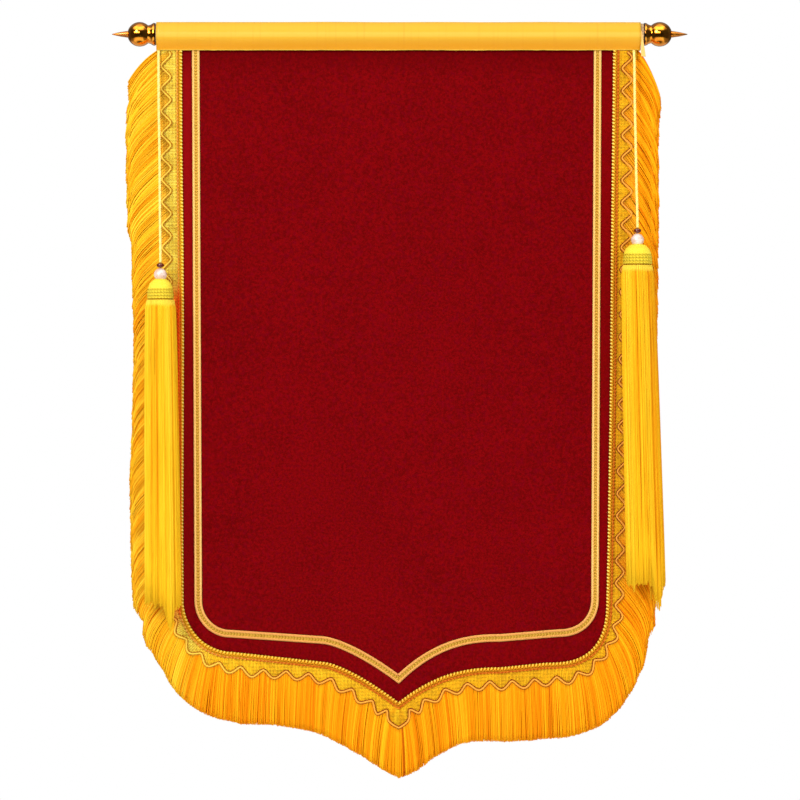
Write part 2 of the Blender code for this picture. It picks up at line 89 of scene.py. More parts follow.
class Look:
    def __init__(self, name, roughness, specular=0.5, **fixed):
        self.begin(bpy.data.materials.new(name), "Principled BSDF")
        fixed.update(Roughness=roughness, Specular_IOR_Level=specular)
        for socket, value in fixed.items():
            self.shader.inputs[socket.replace("_", " ")].default_value = value

    def begin(self, material, shader):
        material.use_nodes = True
        self.material, self.tree = material, material.node_tree
        self.shader = self.tree.nodes[shader]

    def node(self, kind, settings, values, output=0):
        made = self.tree.nodes.new("ShaderNode" + kind)
        for key, value in settings.items():
            if key == "stops":
                ramp = made.color_ramp.elements
                while len(ramp) < len(value):
                    ramp.new(1.0)
                for stop, (position, colour) in zip(ramp, value):
                    stop.position = position
                    stop.color = (*colour, 1.0)
            else:
                setattr(made, key, value)
        for key, value in values.items():
            self.feed(made.inputs[key], value)
        return Value(self, made.outputs[output])

    def feed(self, socket, value):
        if isinstance(value, Value):
            self.tree.links.new(value.socket, socket)
        elif socket.type == "RGBA" and len(value) == 3:
            socket.default_value = (*value, 1.0)
        else:
            socket.default_value = value

    def paint(self, **sockets):
        for name, value in sockets.items():
            self.feed(self.shader.inputs[name.replace("_", " ")], value)
        return self.material

    def parts(self, kind):  # the object's own place, its UV or the direction seen, as three numbers
        place = self.node("TexCoord", {}, {}, kind)
        return [self.node("SeparateXYZ", {}, {0: place}, axis) for axis in range(3)]

    def xyz(self):
        return self.parts("Object")

    def uv(self):
        return self.parts("UV")[:2]

    def attribute(self, name):
        return self.node("Attribute", {"attribute_name": name}, {}, "Fac")

    def grain(self, scale, detail=2.0):  # the scale is one number, or one for each axis
        place = self.node("TexCoord", {}, {}, "Object")
        if isinstance(scale, tuple):
            place, scale = self.node("Mapping", {}, {"Vector": place, "Scale": scale}), 1.0
        return self.node("TexNoise", {}, {"Vector": place, "Scale": scale, "Detail": detail})

    def mix(self, share, first, second, blend="MIX"):
        return self.node("Mix", {"data_type": "RGBA", "blend_type": blend},
                         {0: share, 6: first, 7: second}, 2)

    def ramp(self, value, *stops):
        return self.node("ValToRGB", {"stops": stops}, {0: value})

    def cover(self, colour, height, distance, strength=1.0, **sockets):  # the height goes in as bump
        bump = self.node("Bump", {}, {"Height": height, "Distance": distance, "Strength": strength})
        return self.paint(Base_Color=colour, Normal=bump, **sockets)


class Air(Look):  # the same maker of nodes, for the world round the object
    def __init__(self, name):
        self.begin(bpy.data.worlds.new(name), "Background")


# Small helpers

def clamp(value):
    return min(1.0, max(0.0, value))


def put(name, data):  # a new object in the scene
    piece = bpy.data.objects.new(name, data)
    scene.collection.objects.link(piece)
    return piece


# The camera, straight on with a long lens as in the photograph

view = {"middle": Vector((0.0014, 0.0, -0.3401)), "across": 0.744, "distance": 4.0}


def makeCamera():
    lens = bpy.data.cameras.new("camera")
    lens.sensor_width = 36.0
    lens.lens = lens.sensor_width * view["distance"] / view["across"]
    lens.clip_end = 100.0
    camera = put("camera", lens)
    camera.location = view["middle"] + Vector((0.0, -view["distance"], 0.0))
    camera.rotation_euler = (pi / 2, 0.0, 0.0)
    scene.camera = camera


makeCamera()


# Outlines in the banner's plane, as two-part vectors: x, z

# half widths at the top and at the turn, how low the turn is, then the corner and the middle point
Side = namedtuple("Side", "top low turn cornerWidth cornerHeight cornerPower "
                  "dip pointWidth pointPower")
edgeLine = {
    "left": Side(0.2, 0.1986, 0.527, 0.0437, 0.0484, 2.0, 0.0095, 0.0684, 1.35),
    "right": Side(0.2004, 0.1933, 0.5242, 0.0558, 0.0605, 2.7, 0.0045, 0.0947, 2.3),
    "pointDrop": 0.621,
}
goldLine = {
    "left": Side(0.1885, 0.1862, 0.5261, 0.0298, 0.0312, 2.0, 0.006, 0.0707, 1.45),
    "right": Side(0.1852, 0.1827, 0.5242, 0.0335, 0.0325, 2.2, 0.0045, 0.0944, 2.4),
    "pointDrop": 0.5993,
}
topDrop = 0.012  # how far below the rod's axis the sheets begin, inside the sleeve
sleeveFoot = 0.0151


def between(table, share):  # the values between the rows of a table whose first column is a share
    start, end = next(pair for pair in zip(table, table[1:])
                      if share <= pair[1][0] or pair[1] is table[-1])
    part = min(1.0, (share - start[0]) / (end[0] - start[0]))
    return [low + (high - low) * part for low, high in zip(start[1:], end[1:])]


def outward(run):
    return Vector((run.y, -run.x)).normalized()


class Trail:  # a line measured by the distance along it
    def __init__(self, points):
        self.points = points
        self.marks = [0.0]
        for start, end in zip(points, points[1:]):
            self.marks.append(self.marks[-1] + (end - start).length)
        self.length = self.marks[-1]

    def station(self, distance):  # point number and share of the way to the next
        distance = min(max(distance, 0.0), self.length)
        index = min(bisect_right(self.marks, distance), len(self.points) - 1) - 1
        return index, (distance - self.marks[index]) / (self.marks[index + 1] - self.marks[index])

    def at(self, distance):
        index, share = self.station(distance)
        return self.points[index].lerp(self.points[index + 1], share)

    def distanceAt(self, index, share):
        return self.marks[index] + (self.marks[index + 1] - self.marks[index]) * share

    def out(self, distance, reach):
        return outward(self.at(distance + reach) - self.at(distance - reach))

    def evenly(self, spacing):
        count = max(1, round(self.length / spacing))
        return [self.at(self.length * step / count) for step in range(count + 1)]


def halfOutline(side, pointDrop):
    footX = side.low - side.cornerWidth
    footDrop = side.turn + side.cornerHeight
    points = [Vector((side.top, -topDrop))]
    cornerSteps, pointSteps = 48, 32
    for step in range(cornerSteps + 1):
        angle = pi / 2 * step / cornerSteps
        across = max(cos(angle), 0.0) ** (2 / side.cornerPower)
        down = sin(angle) ** (2 / side.cornerPower)
        points.append(Vector((footX + side.cornerWidth * across,
                              -side.turn - side.cornerHeight * down)))
    startDrop = footDrop + side.dip
    for step in range(pointSteps + 1):
        share = step / pointSteps
        drop = startDrop + (pointDrop - startDrop) * share ** side.pointPower
        points.append(Vector((side.pointWidth * (1 - share), -drop)))
    return Trail(points)


def outline(line, spacing):  # from the top left, round the middle point, to the top right
    left = halfOutline(line["left"], line["pointDrop"]).evenly(spacing)
    right = halfOutline(line["right"], line["pointDrop"]).evenly(spacing)
    return [Vector((-place.x, place.y)) for place in left] + right[-2::-1]


def sideSteps(path):  # how far each point moves when the line moves outwards by one
    steps = []
    for index, place in enumerate(path):
        before = outward(place - path[index - 1]) if index else None
        after = outward(path[index + 1] - place) if index + 1 < len(path) else before
        before = before or after
        middle = (before + after).normalized()
        steps.append(middle / middle.dot(before))
    return steps


def offset(path, distance):
    return [place + step * distance for place, step in zip(path, sideSteps(path))]


def billow(x, z):  # the cloth's slight waves, shared by all that is sewn on it
    down = clamp((-z - 0.03) / 0.2)
    middle = 1.0 - 0.8 * clamp((abs(x) - 0.13) / 0.06)
    return 0.0022 * down * middle * noise.noise(Vector((x * 6.0 + 3.0, 0.5, z * 4.0)))


def onCloth(place, depth):
    return place.x, depth + billow(place.x, place.y), place.y


def arc(radius, start, end, steps):
    angles = [start + (end - start) * step / steps for step in range(steps + 1)]
    return [Vector((cos(angle), sin(angle))) * radius for angle in angles]


# Making and finishing a piece

def dress(piece, material):
    piece.data.materials.clear()
    piece.data.materials.append(material)


def finish(piece, material, slotName, *replaced):
    dress(piece, material)
    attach(piece, "root")
    if replaced:
        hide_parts(*replaced)
    print(piece.name, len(piece.data.polygons))
    return piece


def addMesh(name, bm):
    mesh = bpy.data.meshes.new(name)
    bm.to_mesh(mesh)
    bm.free()
    mesh.shade_smooth()
    return put(name, mesh)


def addTubes(name, lines, radius, resolution, tones=None, radii=None):
    # one mesh of closed tubes, which holds each tube's tone and the share of the way along it
    curve = bpy.data.curves.new(name, "CURVE")
    curve.dimensions = "3D"
    curve.bevel_depth = radius
    curve.bevel_resolution = resolution
    curve.use_fill_caps = True
    for places in lines:
        spline = curve.splines.new("POLY")
        spline.points.add(len(places) - 1)
        spline.points.foreach_set("co", [part for place in places for part in (*place, 1.0)])
        if radii:
            spline.points.foreach_set("radius", radii)
    maker = put(name, curve)
    evaluated = maker.evaluated_get(bpy.context.evaluated_depsgraph_get())
    mesh = bpy.data.meshes.new_from_object(evaluated)
    bpy.data.objects.remove(maker)
    sides = 4 + 2 * resolution
    counts = [len(places) for places in lines]
    tones = tones or [0.5] * len(counts)
    capped = [part for tone in tones[::-1] for part in [tone] * (2 * sides)]
    body = [part for tone, count in zip(tones, counts) for part in [tone] * (sides * count)]
    shares = ([1.0] * sides + [0.0] * sides) * len(counts)
    for count in counts:
        shares += [step / (count - 1) for step in range(count) for _ in range(sides)]
    for layer, values in (("tone", capped + body), ("share", shares)):
        mesh.attributes.new(layer, "FLOAT", "POINT").data.foreach_set("value", values)
    bm = bmesh.new()
    bm.from_mesh(mesh)
    bmesh.ops.remove_doubles(bm, verts=bm.verts, dist=1e-7)
    bpy.data.meshes.remove(mesh)
    return addMesh(name, bm)


def addYarns(name, groups, taper):  # groups of yarns: their lines, their tones and one radius
    parts = [addTubes("yarn", lines, radius, 0, tones, taper) for lines, tones, radius in groups]
    bm = bmesh.new()
    for part in parts:
        bm.from_mesh(part.data)
        bpy.data.objects.remove(part)
    return addMesh(name, bm)


def addSheet(name, columns, rows, spot, thickness, offset=-1.0, uvs=False,
             facing=lambda face: -face.normal.y):
    # a grid with each point where spot puts it, given its shares of the way along and across; facing
    # is above zero outside, and the thickness lies behind the grid, or on both sides for offset 0
    bm = bmesh.new()
    bmesh.ops.create_grid(bm, x_segments=columns, y_segments=rows, size=0.5, calc_uvs=uvs)
    layer = bm.loops.layers.uv.verify() if uvs else None
    for vert in bm.verts:
        x, y, z, *uv = spot(vert.co.x + 0.5, vert.co.y + 0.5)
        vert.co = (x, y, z)
        for loop in vert.link_loops if uv else ():
            loop[layer].uv = uv
    bmesh.ops.recalc_face_normals(bm, faces=bm.faces)
    if sum(map(facing, bm.faces)) < 0:
        bmesh.ops.reverse_faces(bm, faces=bm.faces)
    piece = addMesh(name, bm)
    solid = piece.modifiers.new("thickness", "SOLIDIFY")
    solid.thickness = thickness
    solid.offset = offset
    return piece


def bentStrip(name, path, rows, thickness, slip=None):
    # a grid bent along the path; rows are pairs, distance across and depth of the front, and slip
    # moves the inner edge sideways by an amount for each share of the way
    steps = sideSteps(path)
    marks = Trail(path).marks
    columns, last = len(path) - 1, len(rows) - 1

    def spot(along, share):
        column = round(along * columns)
        across, depth = rows[round(share * last)]
        aside = slip(marks[column] / marks[-1]) * (1 - across / rows[-1][0]) if slip else 0.0
        place = path[column] + steps[column] * (across + aside)
        return *onCloth(place, depth), marks[column], across

    return addSheet(name, columns, last, spot, thickness, uvs=True)


def turned(profile, axis, sides):  # a profile spun round an axis through the origin
    bm = bmesh.new()
    verts = [bm.verts.new(place) for place in profile]
    edges = [bm.edges.new(pair) for pair in zip(verts, verts[1:])]
    bmesh.ops.spin(bm, geom=verts + edges, cent=(0.0, 0.0, 0.0), axis=axis, angle=tau,
                   steps=sides, use_merge=True)
    bmesh.ops.remove_doubles(bm, verts=bm.verts, dist=1e-6)
    bmesh.ops.recalc_face_normals(bm, faces=bm.faces)
    return bm


# Tassel cords, first: three-ply yarn from under the sleeve down to the spacers

tasselCord = {
    "radius": 0.0012, "plies": 3, "plyShare": 0.54, "turn": 0.0062, "spacing": 0.0007, "steps": 12,
    "tones": [0.4, 0.6, 0.8],
    "routes": {
        "left": ((-0.2228, -0.0043, -0.0155), (-0.2228, -0.0052, -0.019), (-0.2227, -0.0072, -0.025),
                 (-0.2224, -0.0102, -0.065), (-0.2214, -0.014, -0.115), (-0.2208, -0.0181, -0.17),
                 (-0.2203, -0.0201, -0.202), (-0.2203, -0.0204, -0.2127)),
        "right": ((0.2187, -0.005, -0.0155), (0.2187, -0.0069, -0.018), (0.2188, -0.0086, -0.0225),
                  (0.2191, -0.011, -0.06), (0.2197, -0.0147, -0.1), (0.2204, -0.0184, -0.145),
                  (0.221, -0.0201, -0.17), (0.2211, -0.0204, -0.1806)),
    },
}


def smoothRoute(places, spacing):
    places = [Vector(place) for place in places]
    padded = [2 * places[0] - places[1]] + places + [2 * places[-1] - places[-2]]
    fine = []
    for before, start, end, after in zip(padded, padded[1:], padded[2:], padded[3:]):
        length = (end - start).length
        leave = ((end - start).normalized() + (start - before).normalized()).normalized() * length
        arrive = ((after - end).normalized() + (end - start).normalized()).normalized() * length
        for step in range(tasselCord["steps"]):
            t = step / tasselCord["steps"]
            fine.append(start * (2 * t**3 - 3 * t**2 + 1) + leave * (t**3 - 2 * t**2 + t)
                        + end * (3 * t**2 - 2 * t**3) + arrive * (t**3 - t**2))
    return Trail(fine + [places[-1]]).evenly(spacing)


def besideTassel(look, colour):  # the strip next to the left tassel is in its shade
    x, _, z = look.xyz()
    shade = x.below(-0.2024, -0.2008) * z.below(-0.25, -0.225) * z.above(-0.56, -0.52)
    return look.mix(shade, colour, look.mix(1.0, colour, (1.25, 0.28, 0.14), "MULTIPLY"))


def yarnLook(name, bright, dark, leftBright=None, leftDark=None, crossings=0):
    look = Look(name, 0.6, 0.08)
    fibres = look.grain(900.0)
    tone = (look.attribute("tone") * 0.6 + fibres * 0.5).above(0.15, 0.85)
    if crossings:  # painted shade: darker where one yarn passes under another
        dip = (look.attribute("share") * (tau * crossings) + fibres * 2.0).sine().above(-0.3, 0.6)
        tone = tone * (1 - dip * 0.85)
    colour = look.mix(tone, dark, bright)
    # painted light and shade: yarns on the left are painted paler, those on the right deeper, as on
    # the heading
    if leftBright:
        x, _, _ = look.xyz()
        colour = look.mix(x.above(-0.19, -0.08), look.mix(tone, leftDark, leftBright), colour)
    return look.cover(besideTassel(look, colour), fibres, 0.0002)


def makeTasselCords():
    material = yarnLook("cordYarn", (0.97, 0.84, 0.3), (0.86, 0.58, 0.1))
    plies, spacing = tasselCord["plies"], tasselCord["spacing"]
    plyRadius = tasselCord["radius"] * tasselCord["plyShare"]
    for side, places in tasselCord["routes"].items():
        route = smoothRoute(places, spacing)
        lines = []
        for ply in range(plies):
            line = []
            for index, place in enumerate(route):
                run = (route[min(index + 1, len(route) - 1)] - route[max(index - 1, 0)]).normalized()
                aside = run.cross(Vector((0.0, 1.0, 0.0))).normalized()
                angle = tau * (index * spacing / tasselCord["turn"] + ply / plies)
                twist = aside * cos(angle) + run.cross(aside) * sin(angle)
                line.append(place + twist * plyRadius)
            lines.append(line)
        piece = addTubes("tasselCord_" + side, lines, plyRadius, 1, tasselCord["tones"])
        finish(piece, material, "cord_silk", "tassel_cord_" + side)
        Trail(route).length
        route[::4] + [route[-1]]


makeTasselCords()


# Velvet panel: one sheet whose cut edge lies under the heading

velvet = {"underHeading": 0.016, "thickness": 0.0018, "front": -0.001, "columns": 0.005, "rows": 96}


def velvetLook():
    look = Look("velvet", 0.95, 0.02,
                Sheen_Weight=0.2, Sheen_Roughness=0.5, Sheen_Tint=(0.9, 0.02, 0.03, 1.0))
    x, _, z = look.xyz()
    pile = look.grain(1300.0, 3.0)
    tuft = look.grain(430.0, 2.0)
    nap = look.grain(16.0, 3.0)
    tone = (pile * 0.4 + tuft * 0.48 + nap * 0.12).above(0.36, 0.64)
    red = look.mix(tone, (0.104, 0.0008, 0.0012), (0.196, 0.0012, 0.0024))
    red = look.mix(look.grain(260.0).above(0.45, 0.75) * 0.5, red, (0.145, 0.0003, 0.006))
    # painted light: the velvet's left margin, beside the heading, is painted a lighter red
    red = look.mix(x.below(-0.196, -0.188) * 0.6, red, (0.265, 0.0036, 0.0042))
    red = look.mix(x.above(0.184, 0.19) * 0.35, red, (0.22, 0.001, 0.0012))
    # painted shade: the velvet is painted darker just below the sleeve
    red = look.mix(z.above(-0.045, -0.015) * 0.45, red, (0.09, 0.0004, 0.001))
    return look.cover(red, pile, 0.0006, 0.7)


def backingLook():  # the plain woven side of the velvet
    look = Look("velvetBack", 0.9, 0.1)
    x, _, z = look.xyz()
    weave = x.wave(0.0009) * z.wave(0.0009)
    stray = look.grain(60.0, 3.0)
    tone = (weave * 0.4 + stray).above(0.1, 0.9)
    colour = look.mix(tone, (0.1, 0.003, 0.006), (0.19, 0.008, 0.012))
    return look.cover(colour, weave, 0.0003)


def makeVelvet():
    rim = offset(outline(edgeLine, velvet["columns"]), velvet["underHeading"])
    foot = [place for place in rim if place.y < -edgeLine["left"].turn + 0.001]
    columns, rows = len(foot) - 1, velvet["rows"]

    def spot(along, share):
        low = foot[round(along * columns)]
        end = 0 if low.x < 0 else -1
        top = Vector((low.x * rim[end].x / foot[end].x, -topDrop))
        return onCloth(top.lerp(low, round((1 - share) * rows) / rows), velvet["front"])

    piece = addSheet("velvetPanel", columns, rows, spot, velvet["thickness"])
    solid = piece.modifiers["thickness"]
    solid.material_offset = solid.material_offset_rim = 1
    finish(piece, velvetLook(), "panel_velvet", "velvet_panel")
    piece.data.materials.append(backingLook())
    return piece


velvetPanel = makeVelvet()


# Gold line: flat braid with a rib on each side and a herringbone middle

braid = {"half": 0.0035, "lip": 0.0004, "front": -0.0022, "rib": 0.0005, "thickness": 0.0009,
         "sink": 0.0011, "pitch": 0.0028, "spacing": 0.0015}


def braidLook():
    look = Look("goldBraid", 0.5, 0.1, Metallic=0.25)
    x, _, z = look.xyz()
    along, across = look.uv()
    off = across.size() / braid["half"]
    middle = off.below(0.36, 0.5)
    stray = look.grain(420.0)
    slant = (along + across.size() * 0.8).wave(braid["pitch"])
    threads = (along - across * 0.7).wave(0.0011)
    light = look.mix((threads * 0.5 + stray).above(0.1, 0.9), (0.92, 0.46, 0.12), (1.0, 0.64, 0.2))
    light = look.mix(z.below(-0.56, -0.5) * 0.8, light, (0.78, 0.32, 0.075))
    plait = (slant * 0.4 + stray * 1.2).above(0.4, 1.0)
    core = look.mix(plait, (0.68, 0.38, 0.05), (0.42, 0.2, 0.016))
    colour = look.mix(middle, light, core)
    # painted shade: the lip beyond each rib, where the braid meets the velvet, is painted near black
    colour = look.mix(off.above(0.99, 1.04), colour, (0.025, 0.003, 0.001))
    height = threads * 0.25 - middle * slant * 0.5
    return look.cover(colour, height, 0.0004)


def makeGoldLine():
    half, front, rib = braid["half"], braid["front"], braid["rib"]
    side = [(half * 0.36, front), (half * 0.55, front - rib), (half * 0.86, front - rib),
            (half, front + rib), (half + braid["lip"], front + braid["sink"])]
    rows = [(-across, depth) for across, depth in side[::-1]] + [(0.0, front)] + side
    piece = bentStrip("goldLine", outline(goldLine, braid["spacing"]), rows, braid["thickness"])
    finish(piece, braidLook(), "gold_braid", "gold_line")


makeGoldLine()


# Fringe heading: netted gimp with a braided chain, picot loops and a cord in waves

gimp = {
    "width": 0.0215, "front": -0.0028, "thickness": 0.0012, "spacing": 0.0015,
    # from the inner edge to the outer: distance across, and how far the face lies back
    "relief": ((-0.0004, 0.0016), (0.0002, 0.0006), (0.0009, 0.0003), (0.0034, 0.0003), (0.004, 0.0),
               (0.0058, 0.0), (0.0066, 0.0002), (0.0078, 0.0001), (0.01, -0.0001), (0.013, 0.0),
               (0.0175, 0.0001), (0.0215, 0.0004)),
    "dotMiddle": 0.0061, "dotHalf": 0.0005, "dotPitch": 0.0033,
    "chainMiddle": 0.0047, "chainHalf": 0.0008, "chainPitch": 0.0066, "chainSwing": 0.0005,
    "chainRadius": 0.00042,
    "picotPitch": 0.0032, "picotMiddle": 0.0017, "picotReach": 0.0015, "picotLean": -0.0005,
    "picotPinch": 0.0004, "picotRadius": 0.00062,
    # one row a place: share of the way round, how far out the inner edge lies past the velvet's line
    "slip": ((0.0, 0.0013), (0.06, 0.0013), (0.12, 0.0004), (0.18, 0.0003), (0.3, 0.0015),
             (0.345, 0.0013), (0.38, -0.0011), (0.47, -0.001), (0.5, 0.0), (0.53, -0.0008),
             (0.64, -0.0002), (0.69, 0.0005), (0.8, 0.0007), (0.84, 0.0002), (0.9, -0.0003),
             (1.0, -0.0007)),
    "waveMiddle": 0.0153, "wavePitch": 0.0209, "firstBends": (0.0069, 0.0199),
    "waveRadius": 0.00085, "waveEdge": 0.00125, "waveEdgeRadius": 0.00052, "waveDepth": -0.0037,
    # one row a place: share of the way round, how far the wave lies outside its middle, its swing
    "waveShift": ((0.0, 0.001, 0.0043), (0.325, 0.0, 0.0038), (0.345, -0.0024, 0.0028),
                  (0.374, -0.0026, 0.0036), (0.405, 0.001, 0.0036), (0.433, -0.001, 0.0036),
                  (0.463, 0.0016, 0.0037), (0.5, 0.0008, 0.004), (0.53, -0.0006, 0.0036),
                  (0.585, 0.002, 0.0037), (0.61, 0.001, 0.0038), (0.632, -0.004, 0.0034),
                  (0.668, -0.0034, 0.0036), (0.8, -0.0022, 0.0042), (0.9, -0.0014, 0.0046),
                  (1.0, -0.003, 0.0044)),
    "pointStretch": 2.3, "scallop": 1.5, "sharp": 0.85,
    "plaitTones": [0.45, 0.65], "waveSpacing": 0.0011, "netPitch": 0.0026,
}


def gimpSlip(share):
    return between(gimp["slip"], share)[0]


edgePath = outline(edgeLine, gimp["spacing"])
edgeSteps = sideSteps(edgePath)
waveTrail = Trail(offset(edgePath, gimp["waveMiddle"]))
outerTrail = Trail(offset(edgePath, gimp["width"]))
waveStart = sleeveFoot - topDrop + 0.0015
# waves are counted from the lowest point, where one bends outwards, to the first inner bends
waveLow = min(zip(waveTrail.points, waveTrail.marks), key=lambda pair: pair[0].y)[1]
wavePitches = []
for span in (waveLow - gimp["firstBends"][0], waveTrail.length - waveLow - gimp["firstBends"][1]):
    wavePitches.append(span / (round(span / gimp["wavePitch"] - 0.5) + 0.5))


def waveOut(distance):  # how far the wavy cord lies outside its middle line
    share = distance / waveTrail.length
    shift, swing = between(gimp["waveShift"], share)
    turns = abs(distance - waveLow) / wavePitches[0 if distance < waveLow else 1]
    if turns < 1:  # the wave at the lowest point is the widest
        turns = turns ** gimp["pointStretch"]
    zigzag = asin(gimp["sharp"] * cos(tau * turns)) / asin(gimp["sharp"])
    scallop = 2 * abs(cos(pi * turns)) ** gimp["scallop"] - 1
    low = clamp((0.19 - abs(share - 0.51)) / 0.04)
    return shift + swing * (zigzag + (scallop - zigzag) * low)


def gimpLook():
    look = Look("gimpNet", 0.7, 0.06)
    x, _, z = look.xyz()
    along, across = look.uv()
    wander = look.grain(560.0)
    patch = look.grain(90.0)
    knots = (x + z).wave(gimp["netPitch"]) * (x - z).wave(gimp["netPitch"])
    holes = (knots * 0.8 + wander * 1.5 + patch * 0.7).above(1.1, 1.5)
    ribs = along.wave(0.0015) * 0.5
    light = (wander + ribs * 0.4).above(0.25, 0.75)
    # painted light and shade: the net is painted yellower on the left and deeper orange on the right,
    # where the heading lies in shade
    left = look.mix(light, (0.74, 0.5, 0.034), (1.0, 0.84, 0.12))
    right = look.mix(light, (0.8, 0.34, 0.005), (1.0, 0.56, 0.014))
    middle = look.mix(light, (0.86, 0.39, 0.008), (1.0, 0.66, 0.022))
    net = look.mix(x.above(-0.196, -0.17), left, look.mix(x.above(-0.08, 0.03), middle, right))
    net = look.mix(patch.above(0.48, 0.62) * 0.25, net, (0.78, 0.44, 0.014))
    net = look.mix(holes, net, (0.34, 0.13, 0.003))
    beside = ((across - gimp["dotMiddle"]) / gimp["dotHalf"]).size().below(0.7, 1.1)
    dots = along.wave(gimp["dotPitch"]).above(-0.1, 0.5) * beside
    net = look.mix(dots * 0.6, net, (0.34, 0.12, 0.003))
    chain = look.mix(wander.above(0.3, 0.7), (0.52, 0.11, 0.003), (0.78, 0.25, 0.006))
    # painted light: the chain is painted paler on the left, the right lying in shade
    chain = look.mix(x.below(-0.196, -0.17), chain, (0.82, 0.46, 0.02))
    isChain = ((across - gimp["chainMiddle"]) / gimp["chainHalf"]).size().below(0.9, 1.1)
    colour = besideTassel(look, look.mix(isChain, net, chain))
    picotGround = across.below(0.0036, 0.004)
    # painted shade: the ground under the picots is painted deeper on the right
    ground = look.mix(x.above(-0.16, -0.06), (0.62, 0.32, 0.006), (0.5, 0.17, 0.003))
    colour = look.mix(picotGround, colour, ground)
    # painted shade: the lip at the inner edge, on the velvet, is painted near black
    colour = look.mix(across.above(-0.0002, 0.0002), (0.02, 0.002, 0.001), colour)
    height = (1 - holes) * 0.7 + wander * 0.5
    return look.cover(colour, height, 0.0005)


def makeHeading():
    rows = [(across, gimp["front"] + rise) for across, rise in gimp["relief"]]
    piece = bentStrip("fringeHeading", edgePath, rows, gimp["thickness"], gimpSlip)
    finish(piece, gimpLook(), "heading_gimp", "fringe_heading")


def picotLook(count):  # painted light and shade: each loop is painted pale at its crest, which lies inwards, and dark between
    look = Look("picotYarn", 0.55, 0.1)
    fibres = look.grain(900.0)
    crest = (look.attribute("share") * (tau * count) - pi / 2).sine()
    crest = crest * 0.4 + fibres * 0.4 + 0.25
    colour = look.ramp(crest, (0.05, (0.6, 0.22, 0.004)), (0.45, (0.93, 0.55, 0.026)),
                       (0.9, (1.0, 0.82, 0.22)))
    warm = look.ramp(crest, (0.05, (0.6, 0.2, 0.004)), (0.45, (0.88, 0.42, 0.016)),
                     (0.9, (1.0, 0.64, 0.085)))
    _, _, z = look.xyz()
    colour = look.mix(z.below(-0.57, -0.5) * 0.85, colour, warm)
    return look.cover(besideTassel(look, colour), fibres, 0.0002)


def trimLine(pitch, steps, shape):
    # places beside the velvet's edge: for each turn, shape gives the shifts along and across, and the
    # depth
    trail = Trail(edgePath)
    top = sleeveFoot - topDrop - 0.001
    count = round((trail.length - 2 * top) / pitch)
    places = []
    for step in range(count * steps + 1):
        ahead, across, depth = shape(tau * step / steps)
        distance = top + (trail.length - 2 * top) * step / (count * steps) + ahead
        index, share = trail.station(distance)
        aside = across + gimpSlip(distance / trail.length) * (1 - across / gimp["width"])
        place = trail.at(distance) + edgeSteps[index].lerp(edgeSteps[index + 1], share) * aside
        places.append(onCloth(place, depth))
    return places, count


def makeTrims():
    def picot(turn):
        return (gimp["picotLean"] * cos(turn) + gimp["picotPinch"] * sin(turn),
                gimp["picotMiddle"] + gimp["picotReach"] * cos(turn), gimp["front"] - 0.0003)

    steps = 8
    places, count = trimLine(gimp["picotPitch"], steps, picot)
    swell = [0.95 - 0.35 * cos(tau * step / steps) for step in range(len(places))]
    piece = addTubes("picotEdge", [places], gimp["picotRadius"], 1, radii=swell)
    finish(piece, picotLook(count), "heading_gimp")

    lines = []
    for strand in (0, 1):
        def plait(turn):
            turn += pi * strand
            return (0.0, gimp["chainMiddle"] + gimp["chainSwing"] * sin(turn),
                    gimp["front"] - 0.0006 - 0.0004 * sin(2 * turn))
        places, count = trimLine(gimp["chainPitch"], 12, plait)
        lines.append(places)
    piece = addTubes("braidedChain", lines, gimp["chainRadius"], 0, gimp["plaitTones"])
    finish(piece, yarnLook("chainYarn", (0.88, 0.28, 0.02), (0.46, 0.06, 0.002), (0.97, 0.52, 0.085),
                           (0.58, 0.13, 0.006), 2 * count), "heading_gimp")


def makeWaveCord():
    count = round((waveTrail.length - 2 * waveStart) / gimp["waveSpacing"])
    middle = []
    for step in range(count + 1):
        distance = waveStart + (waveTrail.length - 2 * waveStart) * step / count
        middle.append(waveTrail.at(distance) + waveTrail.out(distance, 0.008) * waveOut(distance))
    material = yarnLook("waveYarn", (0.88, 0.42, 0.06), (0.72, 0.25, 0.02), (0.9, 0.62, 0.08),
                        (0.68, 0.4, 0.03))
    edging = yarnLook("waveEdging", (0.46, 0.12, 0.005), (0.17, 0.028, 0.001), (0.64, 0.29, 0.012),
                      (0.32, 0.1, 0.003), round(waveTrail.length / 0.0024))
    edge, depth = gimp["waveEdge"], gimp["waveDepth"]
    for name, sides, radius, depth, look in (
            ("waveCord", (0.0,), gimp["waveRadius"], depth, material),
            ("waveEdging", (-edge, edge), gimp["waveEdgeRadius"], depth + 0.0003, edging)):
        lines = [[onCloth(place, depth) for place in offset(middle, aside)] for aside in sides]
        finish(addTubes(name, lines, radius, 1), look, "heading_gimp", "heading_cord")


makeHeading()
makeTrims()
makeWaveCord()


# Fringe: layers of yarn ends that droop from the heading

